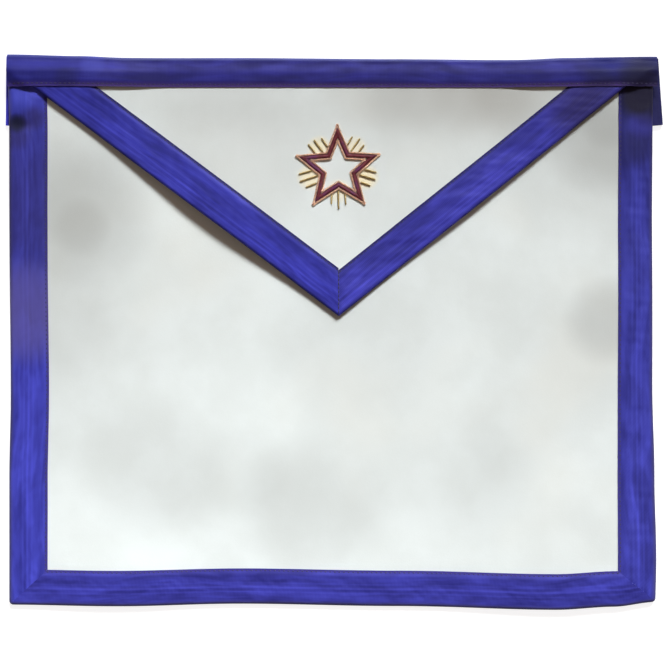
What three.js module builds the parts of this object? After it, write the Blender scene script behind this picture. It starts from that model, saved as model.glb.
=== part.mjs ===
// A ceremonial waist apron lying face up on a flat surface: a white leather panel bound with ribbon,
// a bound triangular flap folded down over it, an embroidered star on the flap, a ribbon over the
// waist edge and a folded belt tab behind each top corner.
//
// Every piece is first drawn on a true rectangle, the cutting pattern, with its centre at 0, 0.
// settle() then moves its points to the outline that the sewn apron has, and bodyLift() and
// flapLift() raise them over what lies beneath. Millimetres, +X right, +Y to the waist, +Z up.
import * as THREE from 'three';

const { clamp, degToRad, lerp, smoothstep } = THREE.MathUtils;

// Driving dimensions
const apronWidth = 406; // from side fold to side fold
const apronHeight = 345; // from the waist fold to the bottom fold
const panelThickness = 1.6;
const flapThickness = 1.2;
const ribbonThickness = 1;
const gap = 0.3; // between pieces that lie on or beside each other

const leftRibbonWidth = 24.4; // as it shows on the front
const rightRibbonWidth = 21.8;
const bottomRibbonWidth = 22.5;
const backTurn = 7; // width of the ribbon turned under the panel
const waistRibbonWidth = 18.4;
const tuck = 8; // how far the side ribbons and the flap run in under the waist ribbon

const waistOverhangRight = 2.4; // how far the waist ribbon reaches past the right fold, over the tab
const flapDrop = 162.6; // from the waist fold to the point of the flap
const flapShift = 4.9; // the point lies this far right of the middle
const flapInsetLeft = 15.4; // from the side fold to the flap, at the waist ribbon's lower edge
const flapInsetRight = 17.6;
const leftFlapRibbonWidth = 24.3;
const rightFlapRibbonWidth = 22.8;
const flapTipWidth = 4; // the leather is cut blunt inside the ribbon's point
const flapLipAngle = 200; // degrees round the fold to which the flap's ribbon turns under

const tabHeight = 41.5; // along the side of the apron
const tabDrop = 0.6; // from the waist fold to the top of the tab
const tabReach = 32; // from the tab's fold to its sewn ends
const tabLoopGap = 1.2; // between the two layers of the tab
const tabOverhangLeft = 1.4; // how far the fold shows past the side ribbon at its top
const tabOverhangRight = 4;
const tabTiltLeft = 2.1; // degrees that the fold leans outwards on its way down
const tabTiltRight = 4.5;

const starRadius = 28.3; // from the centre to a point, over the outer gold cord
const starNotch = 0.45; // radius of the notches as a share of starRadius
const starDrop = 69.6; // from the waist fold to the centre of the star
const starShift = -0.3; // from the point of the flap, to the right
const starTurn = 1.4; // degrees that the star was sewn on askew
const goldCordWidth = 0.95;
const starBandWidth = 2.8;
const starBandHeight = 1.5;
const embroideryGap = 0.15;
const rayRadius = 0.6;
const raySpacing = 4.2;
const rayFan = 3; // degrees that the side rays lean away from the middle one

const edgeDrift = 2.5; // how far the sewn edges stray from the pattern's rectangle
const seatWidth = 18; // band along the edges that rides flat on the turned ribbon
const seatFall = 45; // width over which the panel comes down from it
const tabFall = 80; // width over which the panel comes down from a belt tab
const humpHeight = 3; // height of the soft waves left in the leather
const curlHeight = 6.5; // how far the flap's left edge stands off the panel
const curlStart = 45; // width below the waist ribbon over which the curl grows
const cell = 15.5; // size of the facets on the panel and along the ribbons

// How each sewn edge strays outwards, as shares of edgeDrift. Top and bottom run from left to
// right, and the sides from bottom to top, as shares of the edge.
const topEdge = [
  { along: 0, out: 0.9 },
  { along: 0.11, out: 0.5 },
  { along: 0.18, out: 0.15 },
  { along: 0.36, out: 0.2 },
  { along: 0.6, out: -0.1 },
  { along: 0.79, out: -0.35 },
  { along: 0.87, out: 0.05 },
  { along: 1, out: 0.3 },
];
const bottomEdge = [
  { along: 0, out: 0.05 },
  { along: 0.17, out: 0.4 },
  { along: 0.36, out: -0.2 },
  { along: 0.6, out: 0.4 },
  { along: 0.85, out: 1.25 },
  { along: 0.94, out: 0.5 },
  { along: 1, out: -0.65 },
];
const leftEdge = [
  { along: 0, out: 0.1 },
  { along: 0.23, out: 0.1 },
  { along: 0.38, out: -0.25 },
  { along: 0.7, out: 0.05 },
  { along: 0.87, out: -0.1 },
  { along: 1, out: 0.3 },
];
const rightEdge = [
  { along: 0, out: 0.9 },
  { along: 0.08, out: 1.1 },
  { along: 0.23, out: 0.65 },
  { along: 0.4, out: 0.1 },
  { along: 0.87, out: -0.1 },
  { along: 1, out: 0 },
];

// Soft waves of the panel: centre as shares of the width and height, reach as a share of the
// width, and rise as a share of humpHeight.
const humps = [
  { across: 0.14, up: 0.62, reach: 0.19, rise: 0.9 },
  { across: 0.88, up: 0.58, reach: 0.2, rise: 1 },
  { across: 0.36, up: 0.26, reach: 0.19, rise: 0.75 },
  { across: 0.86, up: 0.04, reach: 0.2, rise: 0.7 },
  { across: 0.16, up: 0.03, reach: 0.17, rise: 0.45 },
];

// How the flap stands off the panel, in the same columns, with rise as a share of curlHeight.
const curls = [
  { across: 0.3, up: 0.66, reach: 0.27, rise: 1 },
  { across: 0.74, up: 0.7, reach: 0.22, rise: 0.35 },
  { across: 0.51, up: 0.53, reach: 0.15, rise: 0.3 },
];

// The gold rays, three out of each notch of the star, clockwise from its upper right. reach is how
// far the left, middle and right ray of three end from its centre, as shares of starRadius, and
// aside is how far the three lie to the right of their notch, as a share of raySpacing.
const rayGroups = [
  { reach: [0.78, 0.84, 0.78], aside: 0.07 },
  { reach: [0.855, 0.875, 0.81], aside: -0.05 },
  { reach: [0.815, 0.91, 0.8], aside: 0.05 },
  { reach: [0.83, 0.92, 0.885], aside: 0.05 },
  { reach: [0.855, 0.85, 0.785], aside: -0.3 },
];

// Places on the pattern that several pieces share
const left = -apronWidth / 2;
const right = apronWidth / 2;
const bottom = -apronHeight / 2;
const top = apronHeight / 2;
const waistLine = top - waistRibbonWidth; // lower edge of the waist ribbon
const tuckLine = waistLine + tuck; // where the side ribbons and the flap end under it
const panelFold = panelThickness / 2 + gap + ribbonThickness; // outer radius of a ribbon's fold
const flapFold = flapThickness / 2 + gap + ribbonThickness;
const tabFold = tabLoopGap / 2 + ribbonThickness;
const ribbonLayer = ribbonThickness + gap;
const apex = new THREE.Vector2(flapShift, top - flapDrop);

const white = new THREE.MeshStandardMaterial({ color: 0xe3e8e6, roughness: 0.6, metalness: 0 });
const blue = new THREE.MeshStandardMaterial({ color: 0x4443a8, roughness: 0.45, metalness: 0 });
const crimson = new THREE.MeshStandardMaterial({ color: 0x6d1f45, roughness: 0.6, metalness: 0 });
const gold = new THREE.MeshStandardMaterial({ color: 0xc9a14a, roughness: 0.35, metalness: 0.9 });

// Value of a table's column at a share along an edge, eased from row to row.
function eased(rows, along) {
  const next = rows.findIndex((row) => row.along > along);
  if (next === 0) return rows[0].out;
  if (next < 0) return rows[rows.length - 1].out;
  const [from, to] = [rows[next - 1], rows[next]];
  return lerp(from.out, to.out, smoothstep(along, from.along, to.along));
}

// How far an edge's table moves a point at a distance inwards from it. The move fades out over a
// width, and all of it acts on a point outside the edge.
function drift(rows, along, inwards, fade) {
  return edgeDrift * eased(rows, along) * (1 - clamp(inwards / fade, 0, 1));
}

// Moves a point of the pattern to where the sewn apron has it. The left and bottom ribbons keep
// their width, and the right and waist ones are narrower where their fold strays inwards.
function settle(x, y) {
  const across = (x - left) / apronWidth;
  const up = (y - bottom) / apronHeight;
  return {
    x: x + drift(rightEdge, up, right - x, rightRibbonWidth)
      - drift(leftEdge, up, x - left, apronWidth),
    y: y + drift(topEdge, across, top - y, waistRibbonWidth)
      - drift(bottomEdge, across, y - bottom, apronHeight),
  };
}

// Sum of the soft mounds of a table at a point of the pattern, as a share of their height.
function mounds(rows, x, y) {
  return rows.reduce((sum, { across, up, reach, rise }) => {
    const away = Math.hypot(x - lerp(left, right, across), y - lerp(bottom, top, up));
    return sum + rise * (1 - smoothstep(away, 0, reach * apronWidth));
  }, 0);
}

// Height of the panel's underside: over the turned ribbon along the edges, over the belt tabs at
// the top corners, and over its own soft waves.
function bodyLift(x, y) {
  const inwards = Math.min(x - left, right - x, y - bottom, top - y);
  const seat = ribbonLayer * (1 - smoothstep(inwards, seatWidth, seatWidth + seatFall));
  const sideways = Math.max(0, Math.min(x - left, right - x) - tabReach);
  const below = Math.max(0, top - tabDrop - tabHeight - y);
  const nearTab = 1 - smoothstep(Math.hypot(sideways, below), 0, tabFall);
  return seat + (2 * tabFold + gap) * nearTab + humpHeight * mounds(humps, x, y);
}

// 1 where a flap piece at x crosses a side ribbon, and 0 away from it.
function overSideRibbon(x) {
  const beyond = Math.min(x - left - leftRibbonWidth, right - x - rightRibbonWidth);
  return 1 - smoothstep(beyond, gap, tabFall);
}

// Height of the flap's underside above the panel's top.
function flapLift(x, y) {
  const curl = mounds(curls, x, y) * smoothstep(waistLine - y, 0, curlStart);
  return gap + ribbonLayer * overSideRibbon(x) + curlHeight * curl;
}

const panelTop = (x, y) => bodyLift(x, y) + panelThickness;
const panelMiddle = (x, y) => bodyLift(x, y) + panelThickness / 2;
const flapMiddle = (x, y) => panelTop(x, y) + flapLift(x, y) + flapThickness / 2;
const flapTop = (x, y) => flapMiddle(x, y) + flapThickness / 2;

// A closed sheet of columns by rows facets. place(across, along, face) gives the pattern point
// and height { x, y, z } of a grid point, by its shares and by its face, 1 above and -1 below.
function sheet(name, material, columns, rows, place) {
  const geometry = new THREE.BoxGeometry(1, 1, 1, columns, rows, 1);
  const points = geometry.getAttribute('position');
  for (let i = 0; i < points.count; i++) {
    const across = Math.round((points.getX(i) + 0.5) * columns) / columns;
    const along = Math.round((points.getY(i) + 0.5) * rows) / rows;
    const point = place(across, along, Math.sign(points.getZ(i)));
    const settled = settle(point.x, point.y);
    points.setXYZ(i, settled.x, settled.y, point.z);
  }
  geometry.computeVertexNormals();
  const mesh = new THREE.Mesh(geometry, material);
  mesh.name = name;
  return mesh;
}

// The course of a ribbon across its width: in along the front, round a fold of radius fold to
// lastAngle, and back underneath to turn. Each station has its distance from the fold's outermost
// line, its height over the middle of what the ribbon wraps, and the angle of its outer face.
function foldCourse({ frontStops, fold, lastAngle = 270, turn = fold }) {
  const foldSteps = Math.round((lastAngle - 90) / 45);
  const middle = fold - ribbonThickness / 2;
  const front = frontStops.map((inwards) => ({ inwards, height: middle, angle: 90 }));
  const round = Array.from({ length: foldSteps + 1 }, (_, step) => {
    const angle = lerp(90, lastAngle, step / foldSteps);
    const [c, s] = [Math.cos(degToRad(angle)), Math.sin(degToRad(angle))];
    return { inwards: fold + middle * c, height: middle * s, angle };
  });
  const back = turn > fold ? [{ inwards: turn, height: -middle, angle: 270 }] : [];
  return [...front, ...round, ...back];
}

// A ribbon that follows a course and runs from start(inwards) to end(inwards), two functions that
// give the pattern point of its ends at each distance from the fold. It runs clockwise round the
// piece that it binds. carrier(x, y) is the height of the middle of that piece, and rise(x, inwards)
// is what more the front layer has to clear.
function ribbon(name, { course, start, end, carrier, rise = () => 0 }) {
  const length = start(0).distanceTo(end(0));
  const columns = Math.ceil(length / cell);
  return sheet(name, blue, columns, course.length - 1, (along, across, face) => {
    const { inwards, height, angle } = course[Math.round(across * (course.length - 1))];
    const out = (face * ribbonThickness) / 2;
    const fromFold = inwards + out * Math.cos(degToRad(angle));
    const { x, y } = start(fromFold).lerp(end(fromFold), along);
    const lifted = angle === 90 ? rise(x, inwards) : 0;
    return { x, y, z: carrier(x, y) + height + out * Math.sin(degToRad(angle)) + lifted };
  });
}

const point = (x, y) => new THREE.Vector2(x, y);

function panel() {
  const columns = Math.ceil(apronWidth / cell);
  const rows = Math.ceil(apronHeight / cell);
  return sheet('apron_panel', white, columns, rows, (across, along, face) => {
    const x = lerp(left + panelFold, right - panelFold, across);
    const y = lerp(bottom + panelFold, top - panelFold, along);
    return { x, y, z: panelMiddle(x, y) + (face * panelThickness) / 2 };
  });
}

// The side and bottom ribbons, mitred where they meet at the bottom corners.
function borderRibbons() {
  const course = (width) => foldCourse({
    frontStops: [width, width * 0.7, width * 0.4], fold: panelFold, turn: backTurn,
  });
  const leftMitre = bottomRibbonWidth / leftRibbonWidth;
  const rightMitre = bottomRibbonWidth / rightRibbonWidth;
  return [
    ribbon('side_ribbon_left', {
      course: course(leftRibbonWidth),
      start: (inwards) => point(left + inwards, bottom + gap + inwards * leftMitre),
      end: (inwards) => point(left + inwards, tuckLine),
      carrier: panelMiddle,
    }),
    ribbon('side_ribbon_right', {
      course: course(rightRibbonWidth),
      start: (inwards) => point(right - inwards, tuckLine),
      end: (inwards) => point(right - inwards, bottom + gap + inwards * rightMitre),
      carrier: panelMiddle,
    }),
    ribbon('bottom_ribbon', {
      course: course(bottomRibbonWidth),
      start: (inwards) => point(right - inwards / rightMitre, bottom + inwards),
      end: (inwards) => point(left + inwards / leftMitre, bottom + inwards),
      carrier: panelMiddle,
    }),
  ];
}

// One slanting edge of the flap. side is -1 on the left and 1 on the right.
function flapEdge(side) {
  const cornerX = side < 0 ? left + flapInsetLeft : right - flapInsetRight;
  const slope = Math.atan2(waistLine - apex.y, Math.abs(apex.x - cornerX));
  return {
    slope,
    // Pattern x of the line that lies inwards from the edge, at height y.
    xAt: (y, inwards) =>
      cornerX - side * ((waistLine + inwards / Math.cos(slope) - y) / Math.tan(slope)),
    // Pattern y of that line at x.
    yAt: (x, inwards) =>
      waistLine - Math.abs(x - cornerX) * Math.tan(slope) + inwards / Math.cos(slope),
  };
}

function flapPanel() {
  const [leftSide, rightSide] = [flapEdge(-1), flapEdge(1)];
  const widthAt = (y) => rightSide.xAt(y, flapFold) - leftSide.xAt(y, flapFold);
  const narrowing = (widthAt(waistLine) - widthAt(apex.y)) / (waistLine - apex.y);
  const tip = waistLine - (widthAt(waistLine) - flapTipWidth) / narrowing;
  const columns = Math.ceil(apronWidth / (1.5 * cell));
  const rows = Math.ceil((tuckLine - tip) / cell);
  return sheet('flap_panel', white, columns, rows, (across, along, face) => {
    const y = lerp(tip, tuckLine, along);
    const x = lerp(leftSide.xAt(y, flapFold), rightSide.xAt(y, flapFold), across);
    return { x, y, z: flapMiddle(x, y) + (face * flapThickness) / 2 };
  });
}

// The two ribbons of the flap, which meet at a seam that runs up from its point.
function flapRibbons() {
  const course = (width) => foldCourse({
    frontStops: [width, width * 0.7, width * 0.4], fold: flapFold, lastAngle: flapLipAngle,
  });
  const [leftSide, rightSide] = [flapEdge(-1), flapEdge(1)];
  const seam = (edge, x) => (inwards) => point(x, edge.yAt(x, inwards));
  const underWaist = (edge) => (inwards) => point(edge.xAt(tuckLine, inwards), tuckLine);
  return [
    ribbon('flap_ribbon_left', {
      course: course(leftFlapRibbonWidth),
      start: seam(leftSide, apex.x - gap / 2),
      end: underWaist(leftSide),
      carrier: flapMiddle,
    }),
    ribbon('flap_ribbon_right', {
      course: course(rightFlapRibbonWidth),
      start: underWaist(rightSide),
      end: seam(rightSide, apex.x + gap / 2),
      carrier: flapMiddle,
    }),
  ];
}

// The ribbon over the waist edge. Its front layer clears the flap, and at both ends the flap's
// ribbons too. Its back layer stops short of the turned side ribbons.
function waistRibbon() {
  const flat = waistRibbonWidth - tuck - gap;
  const course = foldCourse({
    frontStops: [waistRibbonWidth, waistRibbonWidth - tuck / 2, flat, lerp(flat, panelFold, 0.35),
      lerp(flat, panelFold, 0.7)],
    fold: panelFold,
    turn: flat,
  });
  const [leftSide, rightSide] = [flapEdge(-1), flapEdge(1)];
  const overFlapRibbon = (x) => {
    const leftStart = leftSide.xAt(waistLine, leftFlapRibbonWidth + gap);
    const rightStart = rightSide.xAt(waistLine, rightFlapRibbonWidth + gap);
    const inwards = Math.min(x - leftStart, rightStart - x);
    return 1 - smoothstep(inwards, cell, 3 * cell);
  };
  return ribbon('waist_ribbon', {
    course,
    start: (inwards) => point(left, top - inwards),
    end: (inwards) => point(right + waistOverhangRight, top - inwards),
    carrier: panelMiddle,
    rise: (x, inwards) => {
      const stack = flapLift(x, waistLine) + flapThickness + ribbonLayer * overFlapRibbon(x);
      return stack * smoothstep(inwards, panelFold, flat);
    },
  });
}

// A ribbon folded back on itself behind a top corner, where the belt is fastened.
function beltTab(side) {
  const tilt = degToRad(side < 0 ? tabTiltLeft : tabTiltRight);
  const foldX = side < 0 ? left - tabOverhangLeft : right + tabOverhangRight;
  const course = foldCourse({
    frontStops: [tabReach, tabReach / 2], fold: tabFold, turn: tabReach,
  });
  const along = (inwards, down) => point(
    foldX + side * (down * Math.sin(tilt) - inwards * Math.cos(tilt)),
    top - tabDrop - down * Math.cos(tilt) - inwards * Math.sin(tilt),
  );
  const upper = (inwards) => along(inwards, 0);
  const lower = (inwards) => along(inwards, tabHeight);
  return ribbon(side < 0 ? 'belt_tab_left' : 'belt_tab_right', {
    course,
    start: side < 0 ? lower : upper,
    end: side < 0 ? upper : lower,
    carrier: () => tabFold,
  });
}

// Moves a piece of the embroidery from the star's own centre onto the flap.
function onFlap(name, material, geometry) {
  geometry.rotateZ(degToRad(starTurn));
  const points = geometry.getAttribute('position');
  for (let i = 0; i < points.count; i++) {
    const x = points.getX(i) + apex.x + starShift;
    const y = points.getY(i) + top - starDrop;
    const settled = settle(x, y);
    points.setXYZ(i, settled.x, settled.y, points.getZ(i) + flapTop(x, y) + gap);
  }
  geometry.computeVertexNormals();
  const mesh = new THREE.Mesh(geometry, material);
  mesh.name = name;
  return mesh;
}

// The star's sides all lie at the same distance from its centre, so a line that runs beside them
// is the same star with another side distance.
const starPoints = 5;
const halfTurn = Math.PI / starPoints; // from a point to the next notch
const notchSide = starNotch * Math.sin(halfTurn);
const sideAngle = Math.PI / 2 - Math.atan2(notchSide, 1 - starNotch * Math.cos(halfTurn));
const starSide = starRadius * Math.cos(sideAngle);
const notchRadius = starRadius * starNotch;

// Radius of the star at an angle from +Y, for a side distance of 1.
function starProfile(angle) {
  const fromTip = Math.abs(THREE.MathUtils.euclideanModulo(angle + halfTurn, 2 * halfTurn) - halfTurn);
  return 1 / Math.cos(sideAngle - fromTip);
}

// A padded band that follows the star. inset is from the star's outline to its outer edge.
function starBand(name, material, { inset, width, height }) {
  const sides = 8;
  const centre = starSide - inset - width / 2;
  const profile = Array.from({ length: sides + 1 }, (_, step) => {
    const angle = (2 * Math.PI * (step % sides)) / sides + Math.PI / sides;
    return point(centre + (Math.cos(angle) * width) / 2, ((1 + Math.sin(angle)) * height) / 2);
  });
  const geometry = new THREE.LatheGeometry(profile, 4 * starPoints, 0, 2 * Math.PI);
  geometry.rotateX(Math.PI / 2);
  const points = geometry.getAttribute('position');
  for (let i = 0; i < points.count; i++) {
    const [x, y] = [points.getX(i), points.getY(i)];
    const stretch = starProfile(Math.atan2(x, y));
    points.setXY(i, x * stretch, y * stretch);
  }
  return onFlap(name, material, geometry);
}

// The star's band between its two gold cords.
function star() {
  const cord = { width: goldCordWidth, height: goldCordWidth };
  const bandInset = goldCordWidth + embroideryGap;
  const innerInset = bandInset + starBandWidth + embroideryGap;
  return [
    starBand('star_cord_outer', gold, { inset: 0, ...cord }),
    starBand('star_band', crimson, {
      inset: bandInset, width: starBandWidth, height: starBandHeight,
    }),
    starBand('star_cord_inner', gold, { inset: innerInset, ...cord }),
  ];
}

// The gold rays out of the notches of the star.
function rays() {
  const slant = (starRadius * Math.cos(halfTurn) - notchRadius) / (starRadius * Math.sin(halfTurn));
  const made = [];
  rayGroups.forEach(({ reach, aside }, notch) => {
    for (const place of [-1, 0, 1]) {
      const across = (aside + place) * raySpacing;
      const from = notchRadius + Math.abs(across) * slant + gap + rayRadius;
      const length = reach[place + 1] * starRadius - from - rayRadius;
      const geometry = new THREE.CapsuleGeometry(rayRadius, length - rayRadius, 2, 8);
      geometry.translate(0, length / 2, 0);
      geometry.rotateZ(-place * degToRad(rayFan));
      geometry.translate(across, from, rayRadius);
      geometry.rotateZ(-(2 * notch + 1) * halfTurn);
      made.push(onFlap(`ray_${notch + 1}_${['left', 'middle', 'right'][place + 1]}`, gold, geometry));
    }
  });
  return made;
}

function group(...pieces) {
  const made = new THREE.Group();
  made.add(...pieces);
  return made;
}

const body = group(panel(), ...borderRibbons(), beltTab(-1), beltTab(1));
const embroidery = group(...star(), ...rays());
const flap = group(flapPanel(), ...flapRibbons(), embroidery);
const apron = group(body, flap, waistRibbon());

// The origin is the middle of the apron's outline, on the surface that it lies on.
const extent = new THREE.Box3().setFromObject(apron);
const centre = extent.getCenter(new THREE.Vector3());
apron.position.set(-centre.x, -centre.y, -extent.min.z);

export default apron;
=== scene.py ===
"""A white leather ceremonial apron bound with blue moire ribbon, lying face up on a pale floor.

Every piece is drawn in millimetres on the cutting pattern, a true rectangle with its centre at
0, 0. Pattern.settle then moves it to the outline of the sewn apron, the height methods lay it over
what is beneath it, and Pattern.in_frame gives its place in the frame, in metres.
"""

import logging
import math
from collections.abc import Callable, Sequence
from dataclasses import dataclass, field
from enum import Enum

import bpy
import numpy as np
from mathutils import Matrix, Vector


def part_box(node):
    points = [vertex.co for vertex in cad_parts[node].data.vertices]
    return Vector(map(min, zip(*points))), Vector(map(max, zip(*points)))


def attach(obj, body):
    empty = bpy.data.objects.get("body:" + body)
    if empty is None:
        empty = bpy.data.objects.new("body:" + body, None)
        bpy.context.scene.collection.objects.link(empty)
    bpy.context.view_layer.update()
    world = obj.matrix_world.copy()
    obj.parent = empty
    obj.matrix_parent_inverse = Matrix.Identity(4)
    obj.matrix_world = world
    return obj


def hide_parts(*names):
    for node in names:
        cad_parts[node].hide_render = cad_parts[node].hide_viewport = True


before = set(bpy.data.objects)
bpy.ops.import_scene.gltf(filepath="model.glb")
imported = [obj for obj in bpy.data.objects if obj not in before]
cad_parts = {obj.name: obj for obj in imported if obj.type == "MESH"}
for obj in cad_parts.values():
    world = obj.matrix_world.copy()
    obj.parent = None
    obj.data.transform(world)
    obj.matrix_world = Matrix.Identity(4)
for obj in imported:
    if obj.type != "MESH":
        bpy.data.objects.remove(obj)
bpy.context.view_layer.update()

MM = 0.001
BODY = "root"
LOG = logging.getLogger("apron")

Height = Callable[[np.ndarray, np.ndarray], np.ndarray]
Rise = Callable[[np.ndarray, np.ndarray, np.ndarray], np.ndarray]
Line = Callable[[np.ndarray], tuple[np.ndarray, np.ndarray]]


class Side(Enum):
    """A side of the apron as it is seen from above."""

    LEFT = -1
    RIGHT = 1


class Slot(Enum):
    """The material slots of the record."""

    LEATHER = "white_leather"
    RIBBON = "blue_ribbon"
    THREAD = "crimson_thread"
    WIRE = "gold_wire"


def smoothstep(value: np.ndarray, low: float, high: float) -> np.ndarray:
    """Gives the eased share, 0 to 1, of a value between two limits."""
    share = np.clip((value - low) / (high - low), 0.0, 1.0)
    return share * share * (3.0 - 2.0 * share)


def bell(distance: np.ndarray, reach: float) -> np.ndarray:
    """Gives a soft bump that is 1 at a distance of 0 and has faded beyond reach."""
    return np.exp(-((distance / reach) ** 2))


def ripples(
    x: np.ndarray, y: np.ndarray, lengths: tuple[float, float], seed: int, waves: int = 7
) -> np.ndarray:
    """Gives an irregular swell, the same on each run.

    Args:
        x: Place along the first direction, in millimetres.
        y: Place along the second direction, in millimetres.
        lengths: Typical length of a wave along each direction.
        seed: Picks one of the swells.
        waves: How many waves are summed.

    Returns:
        The swell at each point, mostly between -1 and 1.
    """
    draw = np.random.default_rng(seed)
    total = np.zeros(np.broadcast(x, y).shape)
    for _ in range(waves):
        turns = draw.uniform(0.5, 1.5, 2) * draw.choice((-1.0, 1.0), 2) / np.array(lengths)
        phase = draw.uniform(0.0, 2.0 * math.pi)
        total = total + np.sin(2.0 * math.pi * (x * turns[0] + y * turns[1]) + phase)
    return total / math.sqrt(2.0 * waves)


@dataclass(frozen=True)
class SewnEdge:
    """How far one sewn edge strays outwards, as shares of the pattern's drift, along its length."""

    along: tuple[float, ...]
    out: tuple[float, ...]

    def at(self, share: np.ndarray) -> np.ndarray:
        """Gives the stray at a share along the edge, eased from row to row."""
        row = np.clip(np.searchsorted(self.along, share, side="right"), 1, len(self.along) - 1)
        ease = smoothstep(share, np.take(self.along, row - 1), np.take(self.along, row))
        return np.take(self.out, row - 1) * (1.0 - ease) + np.take(self.out, row) * ease


@dataclass(frozen=True)
class Mound:
    """A soft wave of the leather. Its centre is in shares of the apron's width and height, its
    reach is a share of the width, and its rise is a share of the table's height."""

    across: float
    up: float
    reach: float
    rise: float


@dataclass(frozen=True)
class FlapEdge:
    """One slanting edge of the flap."""

    side: Side
    corner_x: float
    corner_y: float
    slope: float

    def x_at(self, y: np.ndarray, inwards: np.ndarray) -> np.ndarray:
        """Gives the x, at height y, of the line that lies inwards from the edge."""
        drop = self.corner_y + inwards / math.cos(self.slope) - y
        return self.corner_x - self.side.value * drop / math.tan(self.slope)

    def y_at(self, x: np.ndarray, inwards: np.ndarray) -> np.ndarray:
        """Gives the y, at place x, of the line that lies inwards from the edge."""
        drop = np.abs(x - self.corner_x) * math.tan(self.slope)
        return self.corner_y - drop + inwards / math.cos(self.slope)


@dataclass(frozen=True)
class Pattern:
    """The apron's cutting pattern and how the sewn apron lies, in millimetres."""

    width: float = 406.0
    height: float = 345.0
    panel_thickness: float = 1.6
    flap_thickness: float = 1.2
    layer: float = 1.0
    gap: float = 0.3
    left_ribbon: float = 24.4
    right_ribbon: float = 21.8
    bottom_ribbon: float = 22.5
    back_turn: float = 7.0
    waist_ribbon: float = 18.4
    tuck: float = 8.0
    waist_overhang_right: float = 2.4
    flap_drop: float = 162.6
    flap_shift: float = 4.9
    flap_inset_left: float = 15.4
    flap_inset_right: float = 17.6
    left_flap_ribbon: float = 24.3
    right_flap_ribbon: float = 22.8
    flap_tip: float = 4.0
    edge_drift: float = 2.5
    corner_radius: float = 2.6
    seat_width: float = 18.0
    seat_fall: float = 45.0
    tab_fold: float = 1.6
    tab_reach: float = 32.0
    tab_drop: float = 0.6
    tab_height: float = 41.5
    tab_fall: float = 80.0
    hump_height: float = 3.0
    curl_height: float = 6.5
    curl_start: float = 45.0
    top_edge: SewnEdge = SewnEdge(
        (0.0, 0.11, 0.18, 0.36, 0.6, 0.79, 0.87, 1.0),
        (0.9, 0.5, 0.15, 0.2, -0.1, -0.35, 0.05, 0.3),
    )
    bottom_edge: SewnEdge = SewnEdge(
        (0.0, 0.17, 0.36, 0.6, 0.85, 0.94, 1.0),
        (0.05, 0.4, -0.2, 0.4, 1.25, 0.5, -0.65),
    )
    left_edge: SewnEdge = SewnEdge(
        (0.0, 0.23, 0.38, 0.7, 0.87, 1.0), (0.1, 0.1, -0.25, 0.05, -0.1, 0.3)
    )
    right_edge: SewnEdge = SewnEdge(
        (0.0, 0.08, 0.23, 0.4, 0.87, 1.0), (0.9, 1.1, 0.65, 0.1, -0.1, 0.0)
    )
    humps: tuple[Mound, ...] = (
        Mound(0.14, 0.62, 0.19, 0.9),
        Mound(0.88, 0.58, 0.2, 1.0),
        Mound(0.36, 0.26, 0.19, 0.75),
        Mound(0.86, 0.04, 0.2, 0.7),
        Mound(0.16, 0.03, 0.17, 0.45),
    )
    curls: tuple[Mound, ...] = (
        Mound(0.285, 0.68, 0.25, 0.94),
        Mound(0.74, 0.71, 0.22, 0.42),
        Mound(0.51, 0.53, 0.15, 0.16),
    )

    @property
    def left(self) -> float:
        """The x of the left fold."""
        return -self.width / 2.0

    @property
    def right(self) -> float:
        """The x of the right fold."""
        return self.width / 2.0

    @property
    def bottom(self) -> float:
        """The y of the bottom fold."""
        return -self.height / 2.0

    @property
    def top(self) -> float:
        """The y of the waist fold."""
        return self.height / 2.0

    @property
    def waist_line(self) -> float:
        """The y of the waist ribbon's lower edge."""
        return self.top - self.waist_ribbon

    @property
    def tuck_line(self) -> float:
        """The y at which the side ribbons and the flap end, under the waist ribbon."""
        return self.waist_line + self.tuck

    @property
    def panel_fold(self) -> float:
        """The outer radius of a ribbon's fold round the panel."""
        return self.panel_thickness / 2.0 + self.gap + self.layer

    @property
    def flap_fold(self) -> float:
        """The outer radius of a ribbon's fold round the flap."""
        return self.flap_thickness / 2.0 + self.gap + self.layer

    @property
    def ribbon_layer(self) -> float:
        """The height that one layer of ribbon takes."""
        return self.layer + self.gap

    @property
    def apex(self) -> tuple[float, float]:
        """The point of the flap."""
        return self.flap_shift, self.top - self.flap_drop

    def drift(
        self, edge: SewnEdge, along: np.ndarray, inwards: np.ndarray, fade: float
    ) -> np.ndarray:
        """Gives how far an edge moves a point that lies inwards from it, fading over a width."""
        return self.edge_drift * edge.at(along) * (1.0 - np.clip(inwards / fade, 0.0, 1.0))

    def rounded(self, x: np.ndarray, y: np.ndarray) -> tuple[np.ndarray, np.ndarray]:
        """Draws the points nearest to a bottom corner in, so that the corner is rounded."""
        radius = self.corner_radius
        side = np.where(x < 0.0, -1.0, 1.0)
        out_x = np.maximum(0.0, side * x - self.width / 2.0 + radius)
        out_y = np.maximum(0.0, self.bottom + radius - y)
        away = np.hypot(out_x, out_y)
        pull = 1.0 - np.maximum(out_x, out_y) / np.maximum(away, 0.001)
        return x - side * out_x * pull, y + out_y * pull

    def settle(self, x: np.ndarray, y: np.ndarray) -> tuple[np.ndarray, np.ndarray]:
        """Moves a point of the pattern to where the sewn apron has it."""
        x, y = self.rounded(x, y)
        across = (x - self.left) / self.width
        up = (y - self.bottom) / self.height
        to_right = self.drift(self.right_edge, up, self.right - x, self.right_ribbon)
        to_left = self.drift(self.left_edge, up, x - self.left, self.width)
        to_top = self.drift(self.top_edge, across, self.top - y, self.waist_ribbon)
        to_bottom = self.drift(self.bottom_edge, across, y - self.bottom, self.height)
        return x + to_right - to_left, y + to_top - to_bottom

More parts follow.
